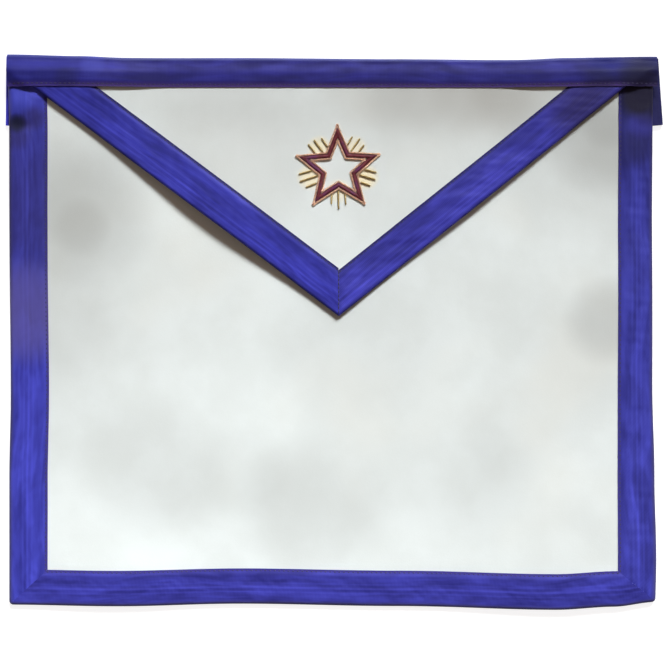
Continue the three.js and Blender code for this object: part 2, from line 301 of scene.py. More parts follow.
    def mounds(self, rows: tuple[Mound, ...], x: np.ndarray, y: np.ndarray) -> np.ndarray:
        """Gives the sum of a table's mounds at a point, as a share of their height."""
        total = np.zeros(np.broadcast(x, y).shape)
        for mound in rows:
            from_x = x - self.left - mound.across * self.width
            from_y = y - self.bottom - mound.up * self.height
            away = np.hypot(from_x, from_y)
            total = total + mound.rise * (1.0 - smoothstep(away, 0.0, mound.reach * self.width))
        return total

    def body_lift(self, x: np.ndarray, y: np.ndarray) -> np.ndarray:
        """Gives the height of the panel's underside over the floor."""
        sideways = np.minimum(x - self.left, self.right - x)
        inwards = np.minimum(sideways, np.minimum(y - self.bottom, self.top - y))
        seat_end = self.seat_width + self.seat_fall
        seat = self.ribbon_layer * (1.0 - smoothstep(inwards, self.seat_width, seat_end))
        beside = np.maximum(0.0, sideways - self.tab_reach)
        below = np.maximum(0.0, self.top - self.tab_drop - self.tab_height - y)
        near_tab = 1.0 - smoothstep(np.hypot(beside, below), 0.0, self.tab_fall)
        over_tab = (2.0 * self.tab_fold + self.gap) * near_tab
        return seat + over_tab + self.hump_height * self.mounds(self.humps, x, y)

    def flap_lift(self, x: np.ndarray, y: np.ndarray) -> np.ndarray:
        """Gives the height of the flap's underside over the panel's top."""
        past_left = x - self.left - self.left_ribbon
        past_right = self.right - x - self.right_ribbon
        beyond = np.minimum(past_left, past_right)
        over_side = 1.0 - smoothstep(beyond, self.gap, self.tab_fall)
        growth = smoothstep(self.waist_line - y, 0.0, self.curl_start)
        curl = self.mounds(self.curls, x, y) * growth
        return self.gap + self.ribbon_layer * over_side + self.curl_height * curl

    def panel_middle(self, x: np.ndarray, y: np.ndarray) -> np.ndarray:
        """Gives the height of the middle of the panel's leather."""
        return self.body_lift(x, y) + self.panel_thickness / 2.0

    def flap_middle(self, x: np.ndarray, y: np.ndarray) -> np.ndarray:
        """Gives the height of the middle of the flap's leather."""
        panel_top = self.body_lift(x, y) + self.panel_thickness
        return panel_top + self.flap_lift(x, y) + self.flap_thickness / 2.0

    def flap_top(self, x: np.ndarray, y: np.ndarray) -> np.ndarray:
        """Gives the height of the upper face of the flap's leather."""
        return self.flap_middle(x, y) + self.flap_thickness / 2.0

    def flap_edge(self, side: Side) -> FlapEdge:
        """Gives one slanting edge of the flap."""
        inset = self.flap_inset_left if side is Side.LEFT else self.flap_inset_right
        corner = side.value * (self.width / 2.0 - inset)
        slope = math.atan2(self.waist_line - self.apex[1], abs(self.apex[0] - corner))
        return FlapEdge(side, corner, self.waist_line, slope)

    def corner_in_frame(self) -> np.ndarray:
        """Finds, in millimetres, where the pattern's centre lies in the frame, from the panel."""
        along = np.linspace(0.0, 1.0, 200)
        inner_x = self.left + self.panel_fold
        inner_y = self.bottom + self.panel_fold
        at_left, _ = self.settle(np.full(200, inner_x), inner_y + along * -2.0 * inner_y)
        _, at_bottom = self.settle(inner_x + along * -2.0 * inner_x, np.full(200, inner_y))
        low = np.array(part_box("apron_panel")[0]) / MM
        return np.array((low[0] - at_left.min(), low[1] - at_bottom.min()))

    def in_frame(
        self, x: np.ndarray, y: np.ndarray, z: np.ndarray, centre: np.ndarray
    ) -> np.ndarray:
        """Gives the place of pattern points in the frame, in metres.

        Args:
            x: Pattern x.
            y: Pattern y.
            z: Height over the floor.
            centre: The pattern's centre in the frame, as corner_in_frame gives it.

        Returns:
            One row of x, y and z for each point.
        """
        settled_x, settled_y = self.settle(x, y)
        return np.column_stack((settled_x + centre[0], settled_y + centre[1], z)) * MM


Colour = tuple[float, float, float]
Silk = tuple[Colour, Colour]


@dataclass(frozen=True)
class Mark:
    """A soft round place of another tone. Its centre and reach are in metres in the frame."""

    x: float
    y: float
    reach: float
    depth: float


Marks = tuple[Mark, ...]
Tints = tuple[tuple[Colour, Marks], ...]


class NodeBoard:
    """The node tree of one new material, with short ways to add and join nodes."""

    def __init__(self, name: str) -> None:
        """Starts the material with a Principled shader."""
        self.material = bpy.data.materials.new(name)
        self.material.use_nodes = True
        self.tree = self.material.node_tree
        self.tree.nodes.clear()
        self.shader = self.add("ShaderNodeBsdfPrincipled")
        self.add("ShaderNodeOutputMaterial", {"Surface": self.shader.outputs["BSDF"]})

    def add(
        self, kind: str, inputs: dict[str | int, object] | None = None, **settings: object
    ) -> bpy.types.Node:
        """Adds a node.

        Args:
            kind: The node's type.
            inputs: Values for its sockets, or the output sockets to join them to.
            settings: The node's own properties.

        Returns:
            The new node.
        """
        node = self.tree.nodes.new(kind)
        for key, value in settings.items():
            setattr(node, key, value)
        for key, value in (inputs or {}).items():
            self.feed(node.inputs[key], value)
        return node

    def feed(self, socket: bpy.types.NodeSocket, value: object) -> None:
        """Joins a socket to an output socket, or sets its value. A colour is given opaque."""
        if isinstance(value, bpy.types.NodeSocket):
            self.tree.links.new(value, socket)
        elif socket.type == "RGBA":
            socket.default_value = (*value, 1.0)
        else:
            socket.default_value = value

    def dress(self, **inputs: object) -> None:
        """Sets the shader's sockets by name, with underscores for the spaces."""
        for key, value in inputs.items():
            self.feed(self.shader.inputs[key.replace("_", " ")], value)

    def sum_up(self, operation: str, *values: object) -> bpy.types.NodeSocket:
        """Adds a Math node over one, two or three values."""
        inputs = dict(enumerate(values))
        return self.add("ShaderNodeMath", inputs, operation=operation).outputs[0]

    def eased(
        self, value: object, low: float, high: float, to_low: float = 0.0, to_high: float = 1.0
    ) -> bpy.types.NodeSocket:
        """Adds a Map Range node that eases a value between two limits."""
        inputs = {
            "Value": value,
            "From Min": low,
            "From Max": high,
            "To Min": to_low,
            "To Max": to_high,
        }
        node = self.add("ShaderNodeMapRange", inputs, interpolation_type="SMOOTHSTEP")
        return node.outputs["Result"]

    def blended(self, share: object, first: object, second: object) -> bpy.types.NodeSocket:
        """Adds a Mix node between two colours."""
        node = self.add("ShaderNodeMix", data_type="RGBA")
        for index, value in ((0, share), (6, first), (7, second)):
            self.feed(node.inputs[index], value)
        return node.outputs[2]

    def noise(
        self, vector: object, scale: float, detail: float = 2.0, roughness: float = 0.5
    ) -> bpy.types.NodeSocket:
        """Adds a Noise texture."""
        inputs = {"Vector": vector, "Scale": scale, "Detail": detail, "Roughness": roughness}
        return self.add("ShaderNodeTexNoise", inputs).outputs["Fac"]

    def object_place(self) -> bpy.types.NodeSocket:
        """Gives Object coordinates."""
        return self.add("ShaderNodeTexCoord").outputs["Object"]

    def surface_place(self) -> tuple[bpy.types.NodeSocket, bpy.types.NodeSocket]:
        """Gives the way along and across the piece, in metres, from its own UV map."""
        uv = self.add("ShaderNodeUVMap", uv_map="UVMap").outputs["UV"]
        parts = self.add("ShaderNodeSeparateXYZ", {"Vector": uv})
        return parts.outputs["X"], parts.outputs["Y"]

    def marked(self, marks: Marks) -> bpy.types.NodeSocket:
        """Adds up the shares of some marks, each strongest at its centre."""
        place = self.add("ShaderNodeSeparateXYZ", {"Vector": self.object_place()}).outputs
        total: object = 0.0
        for mark in marks:
            across = self.sum_up("SUBTRACT", place["X"], mark.x)
            up = self.sum_up("SUBTRACT", place["Y"], mark.y)
            square = self.sum_up("MULTIPLY_ADD", up, up, self.sum_up("MULTIPLY", across, across))
            total = self.sum_up("ADD", total, self.eased(square, 0.0, mark.reach**2, mark.depth, 0.0))
        return total

    def raise_bumps(self, height: object, strength: float, distance: float) -> None:
        """Gives the shader a bump."""
        inputs = {"Height": height, "Strength": strength, "Distance": distance}
        self.dress(Normal=self.add("ShaderNodeBump", inputs).outputs["Normal"])


@dataclass(frozen=True)
class Leather:
    """Fine white lambskin, faintly mottled, with a close grain."""

    name: str
    # The marks lay painted shade on the leather, in the tone given below.
    marks: Marks = ()
    # Marks of a painted gold glow round the star's rays.
    ray_glow: Marks = ()
    clean: Colour = (0.725, 0.765, 0.755)
    dull: Colour = (0.675, 0.71, 0.695)
    warm: Colour = (0.725, 0.73, 0.68)
    # The tone of the painted shade at the marks.
    painted_shade: Colour = (0.33, 0.335, 0.32)
    # The tone of the painted gold glow round the rays.
    ray_glow_tone: Colour = (0.92, 0.77, 0.44)
    blotch: float = 22.0
    grain: float = 2300.0
    pore: float = 900.0

    def made(self) -> bpy.types.Material:
        """Makes the material."""
        board = NodeBoard(self.name)
        place = board.object_place()
        mottle = board.eased(board.noise(place, self.blotch, 4.0, 0.55), 0.35, 0.68)
        tint = board.eased(board.noise(place, self.blotch * 0.45, 2.0), 0.5, 0.75, 0.0, 0.5)
        colour = board.blended(mottle, self.dull, self.clean)
        colour = board.blended(tint, colour, self.warm)
        # Painted shade at the marks, then a painted gold glow round the star's rays.
        for tone, marks in ((self.painted_shade, self.marks), (self.ray_glow_tone, self.ray_glow)):
            if marks:
                colour = board.blended(board.marked(marks), colour, tone)
        cells = {"Vector": place, "Scale": self.pore, "Randomness": 1.0}
        pores = board.add("ShaderNodeTexVoronoi", cells, feature="SMOOTH_F1").outputs["Distance"]
        grain = board.noise(place, self.grain, 3.0, 0.6)
        height = board.sum_up("MULTIPLY_ADD", pores, 0.6, grain)
        rough = board.eased(grain, 0.3, 0.7, 0.52, 0.66)
        board.dress(Base_Color=colour, Roughness=rough)
        board.dress(Specular_IOR_Level=0.35, Sheen_Weight=0.12, Sheen_Roughness=0.5)
        board.raise_bumps(height, 0.35, 0.00012)
        return board.material


@dataclass(frozen=True)
class MoireRibbon:
    """Ribbed silk ribbon with a watered figure and a darker woven edge, partly painted shade.

    The shade is painted shade towards its inner edge. The gloom is painted shade along its length,
    and gives two places along it, in metres, and the share of dark at each. The tints are tones with
    the marks where they show, most of them painted shade or painted highlights. The rim is the worn
    silk on the fold, from one way across to another, in millimetres, and lies past the ribbon where it
    isn't given.
    """

    name: str
    deep: Colour = (0.018, 0.018, 0.23)
    light: Colour = (0.052, 0.054, 0.54)
    # Partly the selvedge's own colour, partly painted shade along the inner edge.
    selvedge_and_shade: Colour = (0.042, 0.033, 0.22)
    worn: Colour = (0.055, 0.050, 0.12)
    rim: tuple[float, float] = (90.0, 91.0)
    # Tones with their marks, most of them painted shade or painted highlights.
    tints: Tints = ()
    crease: float = 13.2
    edge_width: float = 1.7
    patchiness: float = 0.4
    shade: float = 0.0
    shade_width: float = 13.0
    gloom: tuple[float, float, float, float] = (0.0, 1.0, 0.0, 0.0)
    seed: float = 0.0
    shade_tone: Colour = (0.012, 0.010, 0.05)
    gloom_tone: Colour = (0.008, 0.007, 0.03)
    rim_share: float = 0.75
    streak_share: float = 0.34
    water_share: float = 0.2
    line_share: float = 0.3
    rib_share: float = 0.22
    streak_length: float = 75.0
    streak_pitch: float = 4.6
    line_pitch: float = 2.9
    line_reach: float = 7.0
    rib_pitch: float = 0.85

    def made(self) -> bpy.types.Material:
        """Makes the material."""
        board = NodeBoard(self.name)
        along, across = board.surface_place()
        figure = self.figure(board, along, across)
        colour = board.blended(figure, self.deep, self.light)
        dark = board.eased(across, 0.0, self.shade_width * MM, self.shade, 0.0)
        colour = board.blended(dark, colour, self.shade_tone)
        fold = board.eased(across, self.rim[0] * MM, self.rim[1] * MM, 0.0, self.rim_share)
        colour = board.blended(fold, colour, self.worn)
        # Painted shade along the length.
        gloomy = board.eased(along, *self.gloom)
        colour = board.blended(gloomy, colour, self.gloom_tone)
        # The woven edge: partly the selvedge's colour, partly painted shade.
        inside = board.eased(across, self.edge_width * 0.5 * MM, self.edge_width * 1.5 * MM)
        colour = board.blended(inside, self.selvedge_and_shade, colour)
        for tone, marks in self.tints:
            colour = board.blended(board.marked(marks), colour, tone)
        turn = 2.0 * math.pi / (self.rib_pitch * MM)
        ribs = board.sum_up("SINE", board.sum_up("MULTIPLY", along, turn))
        height = board.sum_up("MULTIPLY_ADD", ribs, self.rib_share, figure)
        board.dress(Base_Color=colour)
        board.dress(Roughness=board.eased(figure, 0.0, 1.0, 0.62, 0.48))
        board.dress(Specular_IOR_Level=0.2, Sheen_Weight=0.05, Sheen_Roughness=0.4)
        board.dress(Sheen_Tint=(0.35, 0.35, 1.0))
        board.raise_bumps(height, 0.5, 0.00018)
        return board.material

    def figure(
        self, board: NodeBoard, along: bpy.types.NodeSocket, across: bpy.types.NodeSocket
    ) -> bpy.types.NodeSocket:
        """Makes the watered figure: streaks that drift across the ribbon, soft patches, and a few
        straight lines beside the crease.

        Args:
            board: The material's nodes.
            along: The way along the ribbon.
            across: The way across it.

        Returns:
            The figure's brightness, 0 to 1.
        """
        slow = board.sum_up("MULTIPLY", along, 1000.0 / self.streak_length)
        quick = board.sum_up("MULTIPLY", across, 1000.0 / self.streak_pitch)
        wide = board.sum_up("MULTIPLY", quick, 0.16)
        sway_place = board.add("ShaderNodeCombineXYZ", {0: slow, 1: wide, 2: self.seed + 40.0})
        sway = board.noise(sway_place.outputs[0], 0.9, 1.5)
        bent = board.sum_up("MULTIPLY_ADD", sway, 5.5, quick)
        streak_place = board.add("ShaderNodeCombineXYZ", {0: slow, 1: bent, 2: self.seed})
        streaks = board.eased(board.noise(streak_place.outputs[0], 1.0, 2.5, 0.5), 0.34, 0.70)
        lines = board.sum_up("SINE", board.sum_up("MULTIPLY", bent, 5.2))
        sharp = board.eased(lines, 0.1, 1.0)
        patch_place = board.add("ShaderNodeCombineXYZ", {0: slow, 1: wide, 2: self.seed + 80.0})
        patch = board.eased(board.noise(patch_place.outputs[0], 2.2, 1.0), 0.45, 0.62)
        water = board.sum_up("MULTIPLY", sharp, patch)
        broad = board.eased(board.noise(patch_place.outputs[0], 3.1, 2.5, 0.6), 0.36, 0.66)
        past = board.sum_up("SUBTRACT", across, self.crease * MM)
        near = board.eased(board.sum_up("ABSOLUTE", past), 0.0, self.line_reach * MM, 1.0, 0.0)
        phase = board.sum_up("MULTIPLY", past, 2.0 * math.pi / (self.line_pitch * MM))
        straight = board.sum_up("COSINE", board.sum_up("MULTIPLY_ADD", sway, 1.6, phase))
        lines = board.sum_up("MULTIPLY", board.eased(straight, -0.4, 1.0), near)
        total = board.sum_up("MULTIPLY", streaks, self.streak_share)
        shares = (self.patchiness, self.water_share, self.line_share)
        for part, share in zip((broad, water, lines), shares):
            total = board.sum_up("MULTIPLY_ADD", part, share, total)
        return total


@dataclass(frozen=True)
class SatinThread:
    """Glossy embroidery silk, laid in close threads."""

    name: str
    base: Colour = (0.105, 0.019, 0.027)
    shine: Colour = (0.180, 0.036, 0.044)
    plum: Colour = (0.110, 0.024, 0.095)

    def made(self) -> bpy.types.Material:
        """Makes the material."""
        board = NodeBoard(self.name)
        place = board.object_place()
        share = board.eased(board.noise(place, 420.0, 3.0), 0.35, 0.7)
        colour = board.blended(share, self.base, self.shine)
        faded = board.eased(board.noise(place, 120.0), 0.5, 0.64, 0.0, 0.7)
        board.dress(Base_Color=board.blended(faded, colour, self.plum))
        board.dress(Roughness=0.5, Specular_IOR_Level=0.2)
        board.dress(Sheen_Weight=0.06, Sheen_Roughness=0.3, Sheen_Tint=(1.0, 0.5, 0.6))
        board.raise_bumps(board.noise(place, 5200.0, 2.0), 0.25, 0.00008)
        return board.material


@dataclass(frozen=True)
class GiltWire:
    """Gilt metal embroidery wire, a little tarnished in its hollows."""

    name: str
    bright: Colour = (0.95, 0.66, 0.49)
    tarnish: Colour = (0.55, 0.34, 0.24)

    def made(self) -> bpy.types.Material:
        """Makes the material."""
        board = NodeBoard(self.name)
        place = board.object_place()
        wear = board.eased(board.noise(place, 900.0, 3.0), 0.3, 0.62)
        board.dress(Base_Color=board.blended(wear, self.tarnish, self.bright))
        board.dress(Metallic=0.55, Roughness=board.eased(wear, 0.0, 1.0, 0.44, 0.32))
        board.raise_bumps(board.noise(place, 4000.0, 2.0), 0.2, 0.00006)
        return board.material


@dataclass(frozen=True)
class SewingThread:
    """Dark sewing cotton."""

    name: str
    colour: Colour = (0.012, 0.010, 0.045)
    fuzz: float = 2.2

    def made(self) -> bpy.types.Material:
        """Makes the material."""
        board = NodeBoard(self.name)
        fibres = board.noise(board.object_place(), 6000.0, 2.0)
        lighter = tuple(self.fuzz * part for part in self.colour)
        board.dress(Base_Color=board.blended(fibres, self.colour, lighter))
        board.dress(Roughness=0.7, Sheen_Weight=0.2)
        board.raise_bumps(fibres, 0.3, 0.00008)
        return board.material


@dataclass(frozen=True)
class PaleFloor:
    """The plain white floor that the apron lies on."""

    name: str = "pale_floor"
    colour: Colour = (0.45, 0.45, 0.45)
    lift: float = 0.84

    def made(self) -> bpy.types.Material:
        """Makes the material."""
        board = NodeBoard(self.name)
        board.dress(Base_Color=self.colour, Roughness=0.9, Specular_IOR_Level=0.1)
        board.dress(Emission_Color=(1.0, 1.0, 1.0), Emission_Strength=self.lift)
        return board.material


def only(piece: bpy.types.Object) -> None:
    """Makes a piece the only selected one, and the active one."""
    bpy.ops.object.select_all(action="DESELECT")
    piece.select_set(True)
    bpy.context.view_layer.objects.active = piece


def apply_modifiers(piece: bpy.types.Object) -> None:
    """Applies all the modifiers of a piece, in order."""
    only(piece)
    for modifier in list(piece.modifiers):
        bpy.ops.object.modifier_apply(modifier=modifier.name)


def set_points(mesh: bpy.types.Mesh, points: np.ndarray) -> None:
    """Gives a mesh's points their places."""
    mesh.vertices.foreach_set("co", np.ascontiguousarray(points, dtype=np.float32).ravel())
    mesh.update()


def get_points(mesh: bpy.types.Mesh) -> np.ndarray:
    """Gives the places of a mesh's points, a row each."""
    places = np.empty(len(mesh.vertices) * 3, dtype=np.float32)
    mesh.vertices.foreach_get("co", places)
    return places.reshape(-1, 3).astype(float)


def cloth_grid(name: str, columns: int, rows: int) -> tuple[bpy.types.Object, np.ndarray]:
    """Adds a flat grid to be laid in place.

    Args:
        name: The piece's name.
        columns: Facets along it.
        rows: Facets across it.

    Returns:
        The object, and each point's shares along and across it.
    """
    bpy.ops.object.select_all(action="DESELECT")
    bpy.ops.mesh.primitive_grid_add(x_subdivisions=columns, y_subdivisions=rows, size=1.0)
    piece = bpy.context.active_object
    piece.name = piece.data.name = name
    shares = get_points(piece.data)[:, :2] + 0.5
    return piece, np.round(shares * (columns, rows)) / (columns, rows)


def write_uv(mesh: bpy.types.Mesh, places: np.ndarray) -> None:
    """Writes each point's way along and across the piece, in metres, to its UV map."""
    corners = np.empty(len(mesh.loops), dtype=np.int32)
    mesh.loops.foreach_get("vertex_index", corners)
    layer = mesh.uv_layers["UVMap"]
    layer.data.foreach_set("uv", places[corners].astype(np.float32).ravel())


def thicken(piece: bpy.types.Object, thickness: float) -> None:
    """Gives a sheet its wall, in millimetres, half on each side, and shades it smooth."""
    wall = piece.modifiers.new("wall", "SOLIDIFY")
    wall.thickness = thickness * MM
    wall.offset = 0.0
    wall.use_even_offset = True
    apply_modifiers(piece)
    bpy.ops.object.shade_smooth_by_angle(angle=math.radians(55.0))


def mesh_piece(
    name: str, points: np.ndarray, faces: Sequence[Sequence[int]]
) -> bpy.types.Object:
    """Makes an object from points in metres and faces, smooth shaded."""
    mesh = bpy.data.meshes.new(name)
    mesh.from_pydata(points.tolist(), [], [list(map(int, face)) for face in faces])
    mesh.validate()
    mesh.update()
    piece = bpy.data.objects.new(name, mesh)
    bpy.context.scene.collection.objects.link(piece)
    only(piece)
    bpy.ops.object.shade_smooth_by_angle(angle=math.radians(60.0))
    return piece


def ring_quads(count: int, size: int, closed: bool) -> np.ndarray:
    """Gives the faces of a tube of rings.

    Args:
        count: How many rings there are.
        size: How many points each has.
        closed: Whether the last ring joins the first.

    Returns:
        The four point numbers of each face, a row each.
    """
    ring = np.arange(count)[:, None] * size
    following = np.roll(ring, -1, 0)
    first = np.arange(size)[None, :]
    second = np.roll(first, -1, 1)
    quads = np.stack((ring + first, following + first, following + second, ring + second), -1)
    return (quads if closed else quads[:-1]).reshape(-1, 4)


def face_outwards(piece: bpy.types.Object) -> None:
    """Turns all the faces of a closed piece outwards."""
    only(piece)
    bpy.ops.object.mode_set(mode="EDIT")
    bpy.ops.mesh.select_all(action="SELECT")
    bpy.ops.mesh.normals_make_consistent(inside=False)
    bpy.ops.object.mode_set(mode="OBJECT")


def own(piece: bpy.types.Object, finish: bpy.types.Material, slot: Slot, *nodes: str) -> None:
    """Dresses a piece, makes it ride with the apron, and hides the model's parts that it stands for.
    """
    piece.data.materials.clear()
    piece.data.materials.append(finish)
    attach(piece, BODY)
    if nodes:
        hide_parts(*nodes)
    LOG.info("%s: %d faces", piece.name, len(piece.data.polygons))


@dataclass
class Course:
    """The way a ribbon runs across its width: in along the front, round a fold and back below.

    Its stations run from the inner edge to the last turn. Each has its distance from the fold's
    outermost line, its height over the middle of what the ribbon wraps, whether it is on the
    front, and the way gone across the ribbon.
    """

    width: float
    fold: float
    last_angle: float = 270.0
    turn: float = 0.0
    wall: float = 0.6
    step: float = 0.9
    back_step: float = 1.6
    fold_steps: int = 10
    inwards: np.ndarray = field(init=False)
    height: np.ndarray = field(init=False)
    front: np.ndarray = field(init=False)
    way: np.ndarray = field(init=False)

    def __post_init__(self) -> None:
        """Lays out the stations."""
        middle = self.fold - self.wall / 2.0
        count = max(4, round((self.width - self.fold) / self.step))
        stops = np.linspace(self.width, self.fold, count)
        angle = np.radians(np.linspace(90.0, self.last_angle, self.fold_steps + 1))[1:]
        inwards = [stops, self.fold + middle * np.cos(angle)]
        height = [np.full(len(stops), middle), middle * np.sin(angle)]
        if self.turn > self.fold:
            count = max(3, round((self.turn - self.fold) / self.back_step))
            back = np.linspace(self.fold, self.turn, count)[1:]
            inwards.append(back)
            height.append(np.full(len(back), -middle))
        self.inwards = np.concatenate(inwards)
        self.height = np.concatenate(height)
        self.front = np.arange(len(self.inwards)) < len(stops)
        steps = np.hypot(np.diff(self.inwards), np.diff(self.height))
        self.way = np.concatenate(((0.0,), np.cumsum(steps)))


def no_rise(x: np.ndarray, y: np.ndarray, inwards: np.ndarray) -> np.ndarray:
    """Is the rise of a ribbon that lies on nothing but what it binds."""
    return np.zeros_like(x)


@dataclass
class Binding:
    """A ribbon sewn over an edge, from a start line to an end line."""

    name: str
    pattern: Pattern
    centre: np.ndarray
    course: Course
    start: Line
    end: Line
    carrier: Height
    seed: int
    rise: Rise = no_rise
    mitred: tuple[bool, bool] = (False, False)
    crease: float = 0.14
    crease_place: float = 0.54
    pucker: float = 0.24
    highest_pucker: float = 0.34
    crumple: float = 0.14
    groove: float = 0.14
    dimple: float = 0.12
    clearance: float = 0.06
    sewn_width: tuple[float, float] = (0.6, 4.2)
    soft_from_edge: tuple[float, float] = (2.5, 6.0)
    soft_from_fold: tuple[float, float] = (1.0, 4.0)
    no_seam: float = 99.0
    step: float = 1.5
    stitch_inset: float = 1.3
    stitch_pitch: float = 2.9
    stitch_width: float = 0.75
    stitch_share: float = 0.55
    stitch_lift: float = 0.02

    def length(self) -> float:
        """Gives the ribbon's length along its fold."""
        nought = np.zeros(1)
        (x1, y1), (x2, y2) = self.start(nought), self.end(nought)
        return float(np.hypot(x2 - x1, y2 - y1)[0])

    def relief(
        self, way: np.ndarray, inwards: np.ndarray, along: np.ndarray, length: np.ndarray
    ) -> np.ndarray:
        """Gives how far the front of the ribbon stands off its true layer.

        Args:
            way: Distance from the inner edge.
            inwards: Distance from the fold.
            along: Distance from the start line.
            length: Length of the ribbon at that distance from the fold.

        Returns:
            The height to add.
        """
        slack = self.pattern.gap + self.pattern.layer - self.course.wall - self.clearance
        sewn = -slack * (1.0 - smoothstep(way, *self.sewn_width))
        dimple = -self.dimple * bell(way - self.stitch_inset, 0.7)
        soft = smoothstep(way, *self.soft_from_edge) * smoothstep(inwards, *self.soft_from_fold)
        puckers = ripples(along, way, (26.0, 40.0), self.seed) * 0.6
        puckers = puckers + ripples(along, way, (9.0, 30.0), self.seed + 1) * 0.4
        crease = self.crease * bell(way - self.course.width * self.crease_place, 0.7)
        from_seam = np.full_like(along, self.no_seam)
        if self.mitred[0]:
            from_seam = along
        if self.mitred[1]:
            from_seam = np.minimum(from_seam, length - along)
        crumples = ripples(from_seam, way, (7.0, 5.0), self.seed + 2) * bell(from_seam - 5.0, 6.0)
        puckers = puckers * self.pucker + crumples * self.crumple
        raised = np.minimum(puckers, self.highest_pucker) * soft + crease
        return sewn + dimple + raised - self.groove * bell(from_seam, 1.1) * soft

    def place(
        self, share: np.ndarray, inwards: np.ndarray, height: np.ndarray, way: np.ndarray,
        front: np.ndarray,
    ) -> tuple[np.ndarray, np.ndarray, np.ndarray]:
        """Gives the pattern points of the ribbon's middle face.

        Args:
            share: Share of the way from the start line to the end line.
            inwards: Distance from the fold.
            height: Height over the middle of what the ribbon wraps.
            way: Distance from the inner edge, along the ribbon.
            front: Whether the point is on the front.

        Returns:
            x, y and height.
        """
        (x1, y1), (x2, y2) = self.start(inwards), self.end(inwards)
        length = np.hypot(x2 - x1, y2 - y1)
        x = x1 + (x2 - x1) * share
        y = y1 + (y2 - y1) * share
        raised = self.relief(way, inwards, share * length, length) + self.rise(x, y, inwards)
        z = self.carrier(x, y) + height + np.where(front, raised, 0.0)
        return x, y, z

    def made(self, finish: bpy.types.Material) -> bpy.types.Object:
        course, last = self.course, len(self.course.inwards) - 1
        columns = math.ceil(self.length() / self.step)
        piece, shares = cloth_grid(f"{self.name}_silk", columns, last)
        row = np.round(shares[:, 1] * last).astype(int)
        inwards, way = course.inwards[row], course.way[row]
        x, y, z = self.place(shares[:, 0], inwards, course.height[row], way, course.front[row])
        set_points(piece.data, self.pattern.in_frame(x, y, z, self.centre))
        ends = (self.start(inwards), self.end(inwards))
        length = np.hypot(ends[1][0] - ends[0][0], ends[1][1] - ends[0][1])
        middle = (shares[:, 0] - 0.5) * length + self.length() / 2.0
        write_uv(piece.data, np.column_stack((middle, way)) * MM)
        thicken(piece, course.wall)
        own(piece, finish, Slot.RIBBON, self.name)
        flat = (float(course.way[-1]) * MM, self.length() * MM)
        return piece

    def stitches(self, finish: bpy.types.Material) -> bpy.types.Object:
        """Builds the row of stitches beside the ribbon's inner edge."""
        course = self.course
        inset = np.array((course.width - self.stitch_inset,))
        (x1, y1), (x2, y2) = self.start(inset), self.end(inset)
        length = float(np.hypot(x2 - x1, y2 - y1)[0])
        count = int(length / self.stitch_pitch)
        reach = self.stitch_share * self.stitch_pitch
        centres = (np.arange(count) + 0.5) / count
        ends = []
        for offset in (-0.5, 0.5):
            share = centres + offset * reach / length
            many = np.full(count, inset[0])
            height = np.full(count, course.fold - course.wall / 2.0)
            way = np.full(count, self.stitch_inset)
            x, y, z = self.place(share, many, height, way, np.full(count, True))
            lifted = z + course.wall / 2.0 + self.stitch_lift
            ends.append(self.pattern.in_frame(x, y, lifted, self.centre))
        return thread_row(f"{self.name}_stitches", ends[0], ends[1], self.stitch_width, finish)


def thread_row(
    name: str, tails: np.ndarray, tips: np.ndarray, width: float, finish: bpy.types.Material
) -> bpy.types.Object:
    """Makes a row of stitches, each a plump thread from a tail to a tip.

    Args:
        name: The piece's name.
        tails: Where each stitch comes up, in metres.
        tips: Where each goes down.
        width: The thread's width, in millimetres.
        finish: The thread's material.

    Returns:
        One object with all the stitches.
    """
    bpy.ops.object.select_all(action="DESELECT")
    bpy.ops.mesh.primitive_uv_sphere_add(segments=6, ring_count=5, radius=0.5)
    template = bpy.context.active_object
    shape = get_points(template.data)
    faces = [list(face.vertices) for face in template.data.polygons]
    bpy.data.objects.remove(template)
    run = tips - tails
    reach = np.linalg.norm(run, axis=1, keepdims=True)
    forward = run / reach
    side = np.cross((0.0, 0.0, 1.0), forward)
    side = side / np.linalg.norm(side, axis=1, keepdims=True)
    up = np.cross(forward, side)
    middle = (tails + tips) / 2.0
    points = (
        middle[:, None, :]
        + shape[None, :, 2:3] * run[:, None, :]
        + shape[None, :, 0:1] * side[:, None, :] * width * MM
        + shape[None, :, 1:2] * up[:, None, :] * width * 0.8 * MM
    )
    count = len(shape)
    all_faces = [[v + i * count for v in face] for i in range(len(middle)) for face in faces]
    piece = mesh_piece(name, points.reshape(-1, 3), all_faces)
    face_outwards(piece)
    own(piece, finish, Slot.RIBBON)
    return piece


